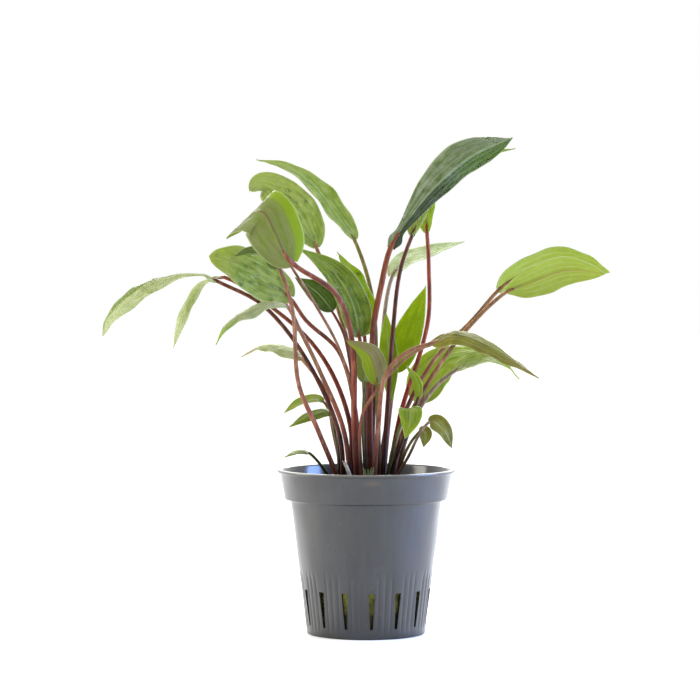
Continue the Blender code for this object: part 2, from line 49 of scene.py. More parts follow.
def addNode(tree, kind, settings=None, inputs=None):
    node = tree.nodes.new(kind)
    for name, value in (settings or {}).items():
        setattr(node, name, value)
    for name, value in (inputs or {}).items():
        if isinstance(value, bpy.types.NodeSocket):
            tree.links.new(value, node.inputs[name])
        else:
            node.inputs[name].default_value = value
    return node


def newMaterial(name):
    material = bpy.data.materials.new(name)
    material.use_nodes = True
    material.node_tree.nodes.clear()
    return material, material.node_tree


def newPiece(name, mesh, material=None):
    piece = bpy.data.objects.new(name, mesh)
    bpy.context.scene.collection.objects.link(piece)
    if material:
        mesh.materials.append(material)
    return piece


def shadeRound(mesh, angle=40):
    mesh.shade_smooth()
    mesh.set_sharp_from_angle(angle=math.radians(angle))


# Camera at the photo's angle, soft studio light, plain pale floor

view = {
    "cameraPlace": (-4.7, -780, 104), "tiltDown": 1.56, "lens": 137.4, "sensor": 36,
    "floorHalf": 4000, "floorColour": "#f7f7f5",
    "backLight": 1.6, "frontLight": 0.2,
}
lamps = {
    # name: place, what it looks at, size across and up, watts, colour
    "keySoftbox": ((-420, -380, 520), (0, 0, 90), (300, 300), 1.5, "#fffdf8"),
    "leftSoftbox": ((-520, -40, 130), (0, 0, 60), (200, 420), 1.5, "#fffaf0"),
    "rightSoftbox": ((480, -60, 130), (0, 0, 60), (240, 420), 5.5, "#8fb4ff"),
    "backSoftbox": ((60, 520, 420), (0, 0, 100), (600, 400), 6.0, "#ffffff"),
}


def makeCamera():
    data = bpy.data.cameras.new("photoCamera")
    data.lens = view["lens"]
    data.sensor_width = view["sensor"]
    data.clip_start = 0.01
    data.clip_end = 50
    camera = bpy.data.objects.new("photoCamera", data)
    camera.location = [v * mm for v in view["cameraPlace"]]
    camera.rotation_euler = (math.radians(90 - view["tiltDown"]), 0, 0)
    bpy.context.scene.collection.objects.link(camera)
    bpy.context.scene.camera = camera


def makeFloor():
    material, tree = newMaterial("matteWhitePaper")
    shader = addNode(tree, "ShaderNodeBsdfPrincipled", None, {
        "Base Color": toLinear(view["floorColour"]), "Roughness": 0.9, "Specular IOR Level": 0.2})
    addNode(tree, "ShaderNodeOutputMaterial", None, {"Surface": shader.outputs[0]})
    mesh = bpy.data.meshes.new("floor")
    body = bmesh.new()
    bmesh.ops.create_grid(body, x_segments=1, y_segments=1, size=view["floorHalf"] * mm)
    body.to_mesh(mesh)
    body.free()
    newPiece("floor", mesh, material)


def makeLights():
    for name, (place, target, size, watts, colour) in lamps.items():
        data = bpy.data.lights.new(name, "AREA")
        data.shape = "RECTANGLE"
        data.size = size[0] * mm
        data.size_y = size[1] * mm
        data.energy = watts
        data.color = toLinear(colour)[:3]
        lamp = bpy.data.objects.new(name, data)
        start = np.array(place) * mm
        aim = np.array(target) * mm - start
        lamp.location = start
        flat = math.hypot(aim[0], aim[1])
        lamp.rotation_euler = (math.atan2(flat, -aim[2]), 0, math.atan2(aim[1], aim[0]) - math.pi / 2)
        lamp.visible_camera = False
        bpy.context.scene.collection.objects.link(lamp)
    world = bpy.data.worlds.new("whiteStudio")
    world.use_nodes = True
    tree = world.node_tree
    tree.nodes.clear()
    place = addNode(tree, "ShaderNodeTexCoord")
    parts = addNode(tree, "ShaderNodeSeparateXYZ", None, {0: place.outputs["Generated"]})
    # dim from the camera's side and low down, bright from behind and above
    rise = addNode(tree, "ShaderNodeMath", {"operation": "MULTIPLY_ADD"}, {
        0: parts.outputs["Z"], 1: 0.8, 2: parts.outputs["Y"]})
    glow = addNode(tree, "ShaderNodeMapRange", None, {
        "Value": rise.outputs[0], "From Min": -0.8, "From Max": 0.6,
        "To Min": view["frontLight"], "To Max": view["backLight"]})
    # the backdrop itself stays plain white from every side
    ray = addNode(tree, "ShaderNodeLightPath")
    strength = addNode(tree, "ShaderNodeMix", {"data_type": "FLOAT"}, {
        0: ray.outputs["Is Camera Ray"], 2: glow.outputs[0], 3: 1.0})
    sky = addNode(tree, "ShaderNodeBackground", None, {
        "Color": toLinear("#ffffff"), "Strength": strength.outputs[0]})
    addNode(tree, "ShaderNodeOutputWorld", None, {"Surface": sky.outputs[0]})
    bpy.context.scene.world = world
    bpy.context.scene.view_settings.view_transform = "Standard"


makeCamera()
makeFloor()
makeLights()
print("camera, floor and lights made")


# Geometry Nodes: one tree for tubes that follow a path, one for what is scattered over a surface

def newTree(name, inputs):
    tree = bpy.data.node_groups.new(name, "GeometryNodeTree")
    tree.interface.new_socket("Geometry", in_out="INPUT", socket_type="NodeSocketGeometry")
    tree.interface.new_socket("Geometry", in_out="OUTPUT", socket_type="NodeSocketGeometry")
    for label, kind in inputs.items():
        tree.interface.new_socket(label, in_out="INPUT", socket_type="NodeSocket" + kind)
    return tree, addNode(tree, "NodeGroupInput").outputs


def runTree(name, mesh, tree, values):
    source = newPiece(name + "Source", mesh)
    modifier = source.modifiers.new(tree.name, "NODES")
    modifier.node_group = tree
    for socket in tree.interface.items_tree:
        if socket.in_out == "INPUT" and socket.name in values:
            modifier[socket.identifier] = values[socket.name]
    bpy.context.view_layer.update()
    graph = bpy.context.evaluated_depsgraph_get()
    made = bpy.data.meshes.new_from_object(source.evaluated_get(graph))
    made.name = name
    source.modifiers.clear()
    bpy.data.objects.remove(source)
    return newPiece(name, made)


def tubeTree():
    tree, given = newTree("tubeAlongPath", {
        "Sides": "Int", "Ripple": "Float", "Ripple Scale": "Float", "Material": "Material"})
    line = addNode(tree, "GeometryNodeMeshToCurve", None, {0: given["Geometry"]})
    share = addNode(tree, "GeometryNodeSplineParameter")
    marked = addNode(tree, "GeometryNodeStoreNamedAttribute", {"data_type": "FLOAT", "domain": "POINT"}, {
        0: line.outputs[0], "Name": "along", "Value": share.outputs["Factor"]})
    noise = addNode(tree, "ShaderNodeTexNoise", None, {"Scale": given["Ripple Scale"], "Detail": 1.0})
    ripple = addNode(tree, "ShaderNodeMath", {"operation": "SUBTRACT"}, {0: noise.outputs[0], 1: 0.5})
    change = addNode(tree, "ShaderNodeMath", {"operation": "MULTIPLY_ADD"}, {
        0: ripple.outputs[0], 1: given["Ripple"], 2: 1.0})
    radius = addNode(tree, "GeometryNodeInputNamedAttribute", {"data_type": "FLOAT"}, {"Name": "tubeRadius"})
    reach = addNode(tree, "ShaderNodeMath", {"operation": "MULTIPLY"}, {
        0: radius.outputs[0], 1: change.outputs[0]})
    ring = addNode(tree, "GeometryNodeCurvePrimitiveCircle", None, {
        "Resolution": given["Sides"], "Radius": 1.0})
    tube = addNode(tree, "GeometryNodeCurveToMesh", None, {
        "Curve": marked.outputs[0], "Profile Curve": ring.outputs[0], "Scale": reach.outputs[0],
        "Fill Caps": True})
    smooth = addNode(tree, "GeometryNodeSetShadeSmooth", None, {0: tube.outputs[0]})
    real = addNode(tree, "GeometryNodeRealizeInstances", None, {0: smooth.outputs[0]})
    dressed = addNode(tree, "GeometryNodeSetMaterial", None, {
        0: real.outputs[0], "Material": given["Material"]})
    addNode(tree, "NodeGroupOutput", None, {0: dressed.outputs[0]})
    return tree


def scatterTree(name, shape):
    # shape(tree, given) returns the output socket of what is scattered, drawn along +Z
    tree, given = newTree(name, {
        "Spacing": "Float", "Density": "Float", "Seed": "Int", "Smallest": "Float", "Largest": "Float",
        "Lean": "Float", "Material": "Material"})
    allowed = addNode(tree, "GeometryNodeInputNamedAttribute", {"data_type": "FLOAT"}, {"Name": "scatter"})
    points = addNode(tree, "GeometryNodeDistributePointsOnFaces", {"distribute_method": "POISSON"}, {
        "Mesh": given["Geometry"], "Distance Min": given["Spacing"], "Density Max": given["Density"],
        "Density Factor": allowed.outputs[0], "Seed": given["Seed"]})
    size = addNode(tree, "FunctionNodeRandomValue", {"data_type": "FLOAT"}, {
        2: given["Smallest"], 3: given["Largest"], "Seed": given["Seed"]})
    low = addNode(tree, "ShaderNodeMath", {"operation": "MULTIPLY"}, {0: given["Lean"], 1: -1.0})
    bend = addNode(tree, "ShaderNodeCombineXYZ", None, {0: low.outputs[0], 1: low.outputs[0], 2: -math.pi})
    over = addNode(tree, "ShaderNodeCombineXYZ", None, {0: given["Lean"], 1: given["Lean"], 2: math.pi})
    lean = addNode(tree, "FunctionNodeRandomValue", {"data_type": "FLOAT_VECTOR"}, {
        0: bend.outputs[0], 1: over.outputs[0], "Seed": given["Seed"]})
    spin = addNode(tree, "FunctionNodeRotateRotation", {"rotation_space": "LOCAL"}, {
        0: points.outputs["Rotation"], 1: lean.outputs[0]})
    copies = addNode(tree, "GeometryNodeInstanceOnPoints", None, {
        "Points": points.outputs[0], "Instance": shape(tree, given), "Rotation": spin.outputs[0],
        "Scale": size.outputs[1]})
    real = addNode(tree, "GeometryNodeRealizeInstances", None, {0: copies.outputs[0]})
    smooth = addNode(tree, "GeometryNodeSetShadeSmooth", None, {0: real.outputs[0]})
    dressed = addNode(tree, "GeometryNodeSetMaterial", None, {
        0: smooth.outputs[0], "Material": given["Material"]})
    addNode(tree, "NodeGroupOutput", None, {0: dressed.outputs[0]})
    return tree


def dropShape(tree, given):
    ball = addNode(tree, "GeometryNodeMeshIcoSphere", None, {"Radius": 1.0, "Subdivisions": 3})
    return addNode(tree, "GeometryNodeTransform", None, {
        0: ball.outputs[0], "Scale": (1.0, 1.0, 0.55)}).outputs[0]


def fibreShape(tree, given):
    line = addNode(tree, "GeometryNodeCurveQuadraticBezier", None, {
        "Resolution": 6, "Start": (-0.5, 0.0, 0.0), "Middle": (0.0, 0.16, 0.08), "End": (0.5, 0.0, 0.0)})
    ring = addNode(tree, "GeometryNodeCurvePrimitiveCircle", None, {"Resolution": 3, "Radius": 0.014})
    tube = addNode(tree, "GeometryNodeCurveToMesh", None, {
        "Curve": line.outputs[0], "Profile Curve": ring.outputs[0], "Fill Caps": True})
    return tube.outputs[0]


tubes = tubeTree()
dropScatter = scatterTree("dropsOnSurface", dropShape)
fibreScatter = scatterTree("fibresOnSurface", fibreShape)


# Leaves: every blade and petiole follows the same curve as its solid

bladeShape = {
    "rows": 76, "columns": 41, "youngRows": 46, "youngColumns": 27,
    "footHeight": 41.9, "baseRound": 0.5, "tipPower": 1.1, "baseShare": 0.004,
    "midribThickness": 0.42, "edgeThickness": 0.16, "grooveDepth": 0.16, "grooveWidth": 0.4,
    "veins": (0.3, 0.6), "veinDepth": 0.07, "veinWidth": 0.2,
    "ridgeHeight": 0.5, "ridgeWidth": 0.42,
    "blister": 0.05, "blisterLength": 2.4, "ruffle": 0.25, "ruffleLength": 8.0, "sag": 0.25,
}
petioleShape = {
    "sides": 14, "footRadius": 0.76, "topRadius": 0.56, "youngFoot": 0.5, "youngTop": 0.4,
    "sheath": 0.34, "sheathLength": 5.0, "ribReach": 0.16, "ripple": 0.12, "rippleSize": 2.5,
}


def unit(rows):
    return rows / np.linalg.norm(rows, axis=-1, keepdims=True)


def smoothRoute(leaf, steps=24):
    places = [(*leaf["foot"], bladeShape["footHeight"]), *leaf["stalk"], leaf["base"], *leaf["spine"]]
    places = np.array([*places, leaf["tip"]], float)
    framed = np.vstack([places[:1] - (0, 0, 5), places, 2 * places[-1:] - places[-2:-1]])
    s = np.linspace(0, 1, steps, endpoint=False)[:, None]
    route = []
    for before, start, end, after in zip(framed, framed[1:], framed[2:], framed[3:]):
        reach = np.linalg.norm(end - start)
        slopeIn = unit(end - before) * reach
        slopeOut = unit(after - start) * reach
        route.append(start * (2 * s**3 - 3 * s**2 + 1) + slopeIn * (s**3 - 2 * s**2 + s)
                     + end * (3 * s**2 - 2 * s**3) + slopeOut * (s**3 - s**2))
    return np.vstack([*route, places[-1:]]), (len(leaf["stalk"]) + 1) * steps


def spreadOver(route, shares):
    steps = np.linalg.norm(np.diff(route, axis=0), axis=1)
    lengths = np.concatenate([[0], np.cumsum(steps)])
    goals = np.asarray(shares) * lengths[-1]
    return np.stack([np.interp(goals, lengths, route[:, k]) for k in range(3)], axis=1), lengths[-1]


def softNoise(x, y, wave, random, count=12):
    # a smooth random field: waves of about one length in every direction
    total = np.zeros(np.broadcast(x, y).shape)
    for turn, phase, size in zip(random.uniform(0, math.pi, count), random.uniform(0, 6.28, count),
                                 random.uniform(0.7, 1.5, count)):
        pull = 2 * math.pi / (wave * size)
        total = total + np.cos(pull * (x * math.cos(turn) + y * math.sin(turn)) + phase)
    return total / math.sqrt(count / 2)


def upAlong(leaf, tangent, shares):
    ups = unit(np.array(leaf["up"], float))
    place = np.asarray(shares) * (len(ups) - 1)
    up = np.stack([np.interp(place, np.arange(len(ups)), ups[:, k]) for k in range(3)], axis=1)
    return unit(up - tangent * (tangent * up).sum(axis=1, keepdims=True))


def bladeSurface(leaf, rows, columns, random):
    s = bladeShape
    route, stalkCount = smoothRoute(leaf)
    along = np.linspace(0, 1, rows) ** 1.2
    spine, length = spreadOver(route[stalkCount:], along)
    tangent = unit(np.gradient(spine, axis=0))
    up = upAlong(leaf, tangent, along)
    side = np.cross(tangent, up)
    place = s["baseShare"] + (1 - s["baseShare"]) * along ** leaf.get("swell", 1)
    point = leaf.get("point", s["tipPower"])
    broadest = s["baseRound"] / (s["baseRound"] + point)
    peak = broadest ** s["baseRound"] * (1 - broadest) ** point
    half = leaf["width"] / 2 * place ** s["baseRound"] * (1 - place) ** point / peak
    half = np.maximum(half, 0.3 * (1 - along**8) + 0.05)
    half = half + leaf.get("ears", 0) * np.exp(-((along - 0.05) / 0.04) ** 2)
    spread = np.linspace(-1, 1, columns)
    across = np.sign(spread) * np.abs(spread) ** 1.25
    flat = across[None, :] * half[:, None]
    fold = math.radians(leaf["fold"])
    down = along[:, None] * length
    # each side of the margin waves on its own, and the halves sag a little between their veins
    edge = np.abs(across)[None, :] ** 4 * np.minimum(1, half[:, None] / 2.5)
    left = softNoise(down, 0 * flat, s["ruffleLength"], random, 5)
    right = softNoise(down, 0 * flat, s["ruffleLength"], random, 5)
    waves = np.where(across[None, :] < 0, left, right) * edge * leaf.get("ruffle", s["ruffle"])
    sag = -s["sag"] * np.sin(math.pi * np.abs(across))[None, :] * np.minimum(1, half[:, None] / 4)
    lift = np.abs(flat) * math.sin(fold) + waves + sag * np.sign(leaf["fold"])
    back = leaf.get("lobe", 0) * across[None, :] ** 2 * (1 - along[:, None]) ** 4
    middle = (spine[:, None] + side[:, None] * (flat * math.cos(fold))[..., None]
              + up[:, None] * lift[..., None] - tangent[:, None] * back[..., None])
    normal = np.cross(np.gradient(middle, axis=1), np.gradient(middle, axis=0))
    normal = unit(normal)
    outline = 1 - np.abs(across)[None, :]
    blister = softNoise(down * 0.75, flat * 1.25, s["blisterLength"], random)
    middle = middle + normal * (s["blister"] * blister * np.minimum(1, outline * 4))[..., None]
    thick = s["edgeThickness"] + (s["midribThickness"] - s["edgeThickness"]) * outline**1.5
    rib = np.exp(-(flat / s["grooveWidth"]) ** 2) * (1 - along[:, None]) ** 0.5
    veins = 0
    for start in s["veins"]:
        leaving = start * np.minimum(1, along[:, None] / 0.2) ** 0.6
        veins = veins + np.exp(-((np.abs(across)[None, :] - leaving) * half[:, None] / s["veinWidth"]) ** 2)
    veins = veins * np.minimum(1, half[:, None] / 3) * np.minimum(1, along[:, None] * 12)
    ridge = np.exp(-(flat / s["ridgeWidth"]) ** 2) * (1 - along[:, None]) ** 0.8
    ridge = ridge * np.minimum(1, (along[:, None] + 0.02) * 12)
    upper = thick / 2 - s["grooveDepth"] * rib - s["veinDepth"] * veins
    under = thick / 2 + s["veinDepth"] * veins + s["ridgeHeight"] * ridge
    return middle + normal * upper[..., None], middle - normal * under[..., None], along, across, length


def bladeMesh(name, upper, under, along, across):
    rows, columns = upper.shape[:2]
    count = rows * columns
    index = np.arange(count).reshape(rows, columns)
    a, b, c, d = index[:-1, :-1], index[:-1, 1:], index[1:, 1:], index[1:, :-1]
    top = np.stack([a, b, c, d], axis=-1).reshape(-1, 4)
    bottom = np.stack([a, d, c, b], axis=-1).reshape(-1, 4) + count
    rims = []
    for line in (index[:, 0], index[-1, :], index[::-1, -1], index[0, ::-1]):
        rims.append(np.stack([line[:-1], line[1:], line[1:] + count, line[:-1] + count], axis=-1))
    rim = np.vstack(rims)
    mesh = bpy.data.meshes.new(name)
    points = np.vstack([upper.reshape(-1, 3), under.reshape(-1, 3)]) * mm
    faces = np.vstack([top, bottom, rim])
    mesh.from_pydata(points.tolist(), [], faces.tolist())
    # the left half of the map is the upper face, the right half the underside
    flat = np.stack([np.repeat(0.02 + 0.46 * along, columns), np.tile(0.5 + 0.48 * across, rows)], axis=1)
    places = [flat[top.ravel()], flat[bottom.ravel() - count] + (0.5, 0), flat[rim.ravel() % count]]
    mesh.uv_layers.new(name="leafMap").data.foreach_set("uv", np.vstack(places).ravel())
    mesh.shade_smooth()
    return mesh


def lineMesh(name, lines):
    # lines: (points, radii) pairs, in millimetres, each becoming one path of its own
    mesh = bpy.data.meshes.new(name)
    points = np.vstack([line[0] for line in lines]) * mm
    radii = np.concatenate([line[1] for line in lines]) * mm
    edges = []
    start = 0
    for line in lines:
        edges += [(start + i, start + i + 1) for i in range(len(line[0]) - 1)]
        start += len(line[0])
    mesh.from_pydata(points.tolist(), edges, [])
    mesh.attributes.new("tubeRadius", "FLOAT", "POINT").data.foreach_set("value", radii)
    return mesh


def petioleLine(leaf, young):
    p = petioleShape
    foot, top = (p["youngFoot"], p["youngTop"]) if young else (p["footRadius"], p["topRadius"])
    route, stalkCount = smoothRoute(leaf)
    share = np.linspace(0, 1, 30)
    stalk, length = spreadOver(route[:stalkCount + 1], share)
    radius = foot + (top - foot) * share
    radius += p["sheath"] * (0.5 if young else 1) * np.exp(-(share * length / p["sheathLength"]) ** 2)
    ribShare = np.linspace(0, p["ribReach"], 14)[1:]
    rib, _ = spreadOver(route[stalkCount:], ribShare)
    tangent = unit(np.gradient(rib, axis=0))
    ribRadius = top * (1 - ribShare / p["ribReach"] * 0.7)
    sink = ribRadius / math.cos(math.radians(leaf["fold"])) * np.minimum(1, ribShare / 0.05)
    rib = rib - upAlong(leaf, tangent, ribShare) * sink[:, None]
    return np.vstack([stalk, rib]), np.concatenate([radius, ribRadius]) * leaf.get("stout", 1)

leaves = {
    "01": {"foot": (1.5, 6), "stalk": [(2, 7, 59), (3, 9, 82.5), (1.5, 13, 100)],
        "base": (-3.5, 18, 115.5), "spine": [(-8.5, 22, 122.5), (-15, 25, 131), (-23.5, 27, 137)],
        "tip": (-33, 28, 139.5), "up": [(0.7, -1, 0.8), (0.1, -0.8, 1)], "width": 8, "fold": 15,
        "lobe": 0.5},
    "02": {"foot": (-2.5, 5), "stalk": [(-3, 6, 59), (-5, 9, 82.5), (-10.5, 12, 101.5)],
        "base": (-15, 15, 113.5), "spine": [(-19.5, 19, 122.5), (-25.5, 23, 128.5), (-31, 25, 132)],
        "tip": (-35, 24, 130), "up": [(0.4, -1, 0.5), (0, -1, 0.6), (-0.4, -0.9, 0.3)], "width": 12.5,
        "fold": 8, "lobe": 1, "point": 0.6},
    "03": {"foot": (-2.5, -7), "stalk": [(-3.5, -9, 63), (-4, -13, 85), (-8.5, -19, 99)],
        "base": (-21.5, -26, 108.5),
        "spine": [(-25.5, -28, 116), (-29, -27.5, 122), (-33, -21.5, 121)], "tip": (-40, -15, 115),
        "up": [(0.1, 1, 0.1), (0.1, 1, 0.1), (0.3, 0.4, -0.6), (0.4, -0.2, -0.8)], "width": 16,
        "fold": 6, "lobe": 1.5, "point": 0.9},
    "04": {"foot": (-7, -6.5), "stalk": [(-14, -10, 60), (-19.5, -13, 73.5), (-21, -19, 94)],
        "base": (-25, -21, 107), "spine": [(-29, -21, 110.5), (-33.5, -20, 111)],
        "tip": (-37.5, -18, 110), "up": [(-0.3, 0.6, 0.8), (-0.1, 0.3, 1)], "width": 8, "fold": 15,
        "lobe": 0.5},
    "05": {"foot": (-3, 1.5), "stalk": [(-3, 1.5, 62), (-7.5, -1, 81.5), (-17.5, -5, 91.5)],
        "base": (-22.5, -7.5, 98.5), "spine": [(-29.5, -10, 103), (-37.5, -13, 107.5)],
        "tip": (-45, -15, 110), "up": [(-0.1, -0.9, 0.6), (-0.2, -0.8, 0.7)], "width": 14.5,
        "fold": 6, "lobe": 1.5, "point": 0.6},
    "06": {"foot": (-6.5, -2.5), "stalk": [(-8, -4, 59), (-17, -5, 79.5), (-29.5, -5, 95.5)],
        "base": (-43.5, -4, 103),
        "spine": [(-47.5, -4.5, 105), (-55.5, -6, 104.5), (-64, -7.5, 101.5),
            (-70, -8.5, 97), (-74.5, -9.5, 92)],
        "tip": (-76, -10, 87),
        "up": [(-0.1, -0.2, 1), (-0.1, -0.4, 0.9), (-0.4, -0.8, 0.5), (-0.9, -0.7, 0.1)], "width": 7,
        "fold": -22, "lobe": 0.5, "swell": 2.2, "point": 0.8, "ears": 1.3},
    "07": {"foot": (-4.5, 0), "stalk": [(-5, 0, 62.5), (-14, 1, 82.5), (-30.5, 2, 97.5)],
        "base": (-41.5, 3, 104), "spine": [(-47, 2, 103), (-51.5, 0, 97.5), (-54, -2, 91.5)],
        "tip": (-56, -4, 83.5), "up": [(-0.2, -0.4, 1), (-0.6, -0.8, 0.4), (-0.7, -0.8, 0.1)],
        "width": 4.2, "fold": -15, "lobe": 0.5, "swell": 2},
    "08": {"foot": (-4.5, -4.5), "stalk": [(-6.5, -6, 59.5), (-13.5, -8, 77), (-19.5, -11, 89.5)],
        "base": (-23, -15, 96), "spine": [(-28, -19, 97), (-34, -23, 94.5), (-40, -26, 90)],
        "tip": (-42.5, -28, 85), "up": [(-0.2, -0.4, 0.9), (-0.4, -0.5, 0.8), (-0.8, -0.6, 0.3)],
        "width": 7, "fold": -22, "lobe": 0.5},
    "09": {"foot": (0, -1.5), "stalk": [(-0.5, -2.5, 59.5), (-0.5, -3, 71)], "base": (-2, -4, 87),
        "spine": [(-4, -5, 96.5), (-9.5, -6, 105.5)], "tip": (-19.5, -7, 112.5),
        "up": [(0.3, -0.95, 0.2), (0.3, -0.9, 0.4)], "width": 10, "fold": 10, "lobe": 0.5},
    "10": {"foot": (1.5, 2), "stalk": [(0.5, 2, 59), (0.5, 2, 72.5)], "base": (-0.5, 2, 87.5),
        "spine": [(-1.5, 2, 96), (-4, 3, 104)], "tip": (-8.5, 4, 111.5),
        "up": [(0.4, -0.9, 0.2), (0.5, -0.8, 0.3)], "width": 9, "fold": 10, "lobe": 0.5},
    "11": {"foot": (-6, 5), "stalk": [(-9.5, 7, 58.5), (-12, 10, 70)], "base": (-19.5, 17, 80),
        "spine": [(-24.5, 21, 83), (-31, 25, 83.5)], "tip": (-37.5, 28, 80),
        "up": [(0, -0.4, 0.9), (-0.1, -0.2, 1)], "width": 8, "fold": -18, "lobe": 1},
    "12": {"foot": (1.5, -4), "stalk": [(1, -5, 62.5), (2, -7, 88.5), (4.5, -9, 102.5)],
        "base": (7, -10, 112.5), "spine": [(12, -12, 120.5), (20, -13, 130.3), (30.5, -13, 139)],
        "tip": (42, -12, 144),
        "up": [(-0.2, -1, 0.1), (0.1, -1, -0.1), (0.2, -0.9, -0.2), (0, -0.9, 0.3)], "width": 13,
        "fold": -38, "lobe": 0.3, "swell": 2.6, "ears": 1.5},
    "13": {"foot": (4.5, -1.5), "stalk": [(6, -1, 62.5), (8, 1, 90), (10, 3, 106)],
        "base": (14, 4, 117.5), "spine": [(17.5, 5, 125.5), (25.5, 4, 133.5), (35, 2, 139.5)],
        "tip": (43.5, 0, 141.5), "up": [(-0.6, -0.5, 0.6), (-0.5, -0.5, 0.8), (0.1, -0.6, 1)],
        "width": 9.5, "fold": 12, "lobe": 1.5},
    "14": {"foot": (6.3, 0.9), "stalk": [(10, 1.5, 63.5), (18, 4, 90), (18.5, 8, 108.5)],
        "base": (18, 10, 119), "spine": [(18.5, 13, 126), (22, 16, 132)], "tip": (27, 19, 138),
        "up": [(-0.6, -0.5, 0.6), (-0.5, -0.6, 0.7)], "width": 7, "fold": 15, "lobe": 2},
    "15": {"foot": (3, 7.5), "stalk": [(3.5, 10, 59), (5, 18, 85.5), (6.5, 24, 98.5)],
        "base": (9, 28, 106), "spine": [(14, 33, 110), (21.5, 38, 112.5)], "tip": (30.5, 43, 115),
        "up": [(-0.1, -0.6, 0.8), (0, -0.5, 0.8)], "width": 7.5, "fold": 8, "lobe": 3},
    "16": {"foot": (5, 5), "stalk": [(7, 8, 63.5)], "base": (9, 11, 76),
        "spine": [(11.5, 13, 84), (14.8, 15, 93)], "tip": (18, 18, 101.5),
        "up": [(-0.2, -1, 0.1), (-0.1, -1, 0.2)], "width": 9, "fold": 8, "lobe": 0.2},
    "17": {"foot": (2, -8.5), "stalk": [(3.5, -11, 61.5), (5.5, -15, 76), (11.5, -16.5, 82.5)],
        "base": (19.5, -18, 85.5), "spine": [(25.5, -20, 88), (35, -23, 84.5), (42, -25, 80)],
        "tip": (48.5, -27, 75.5), "up": [(0, -0.5, 0.85), (0.3, -0.4, 0.85)], "width": 9, "fold": -18,
        "lobe": 1},
    "18": {"foot": (6.5, 5.5), "stalk": [(11.5, 9, 59)], "base": (16.5, 12, 67.5),
        "spine": [(19.5, 15, 75), (25, 17, 80), (34, 18, 81.5), (41, 18, 79)], "tip": (46, 18, 73.5),
        "up": [(-0.6, -0.8, 0.3), (-0.3, -0.7, 0.6), (0.1, -0.3, 1), (0.6, -0.2, 0.8)], "width": 14,
        "fold": 5, "lobe": 1, "point": 2},
    "19": {"foot": (8.8, -0.4), "stalk": [(12, -0.5, 58), (19, 0.5, 70.5)], "base": (26.5, 1, 77),
        "spine": [(31.5, 0, 79), (37.5, -2, 80)], "tip": (42.5, -3, 77),
        "up": [(0, -0.5, 1), (0.5, -0.5, 0.8)], "width": 9, "fold": 12, "lobe": 0.5},
    "20": {"foot": (6, 3), "stalk": [(10, 4, 60.5), (19.5, 6, 79), (31.5, 8, 91.5)],
        "base": (41, 9, 102), "spine": [(48.5, 10, 106), (59, 10, 108.8)], "tip": (72, 9, 105.5),
        "up": [(-0.2, 0.8, 0.6), (0.2, 0.8, 0.6)], "width": 12.5, "fold": -8, "lobe": 3,
        "point": 0.8},
    "21": {"foot": (7, -2.5), "stalk": [(11.5, -3, 61), (23, -4, 81), (33, -5, 93)],
        "base": (41, -6, 100), "spine": [(47.5, -7, 102.5), (57.5, -8, 106)], "tip": (69, -9, 105),
        "up": [(-0.2, 0.85, 0.5), (0.2, 0.85, 0.5)], "width": 11, "fold": -8, "lobe": 0.5,
        "swell": 1.2, "point": 0.9},
    "22": {"foot": (3.5, -6), "stalk": [(3.5, -8.5, 60)], "base": (3, -10.5, 73.5),
        "spine": [(2.5, -12, 78.5), (0.5, -14.5, 82.5)], "tip": (-6, -17, 86),
        "up": [(-0.3, 0.8, 0.4), (-0.5, 0.6, 0.6)], "width": 7, "fold": 10, "lobe": 0.5},
}
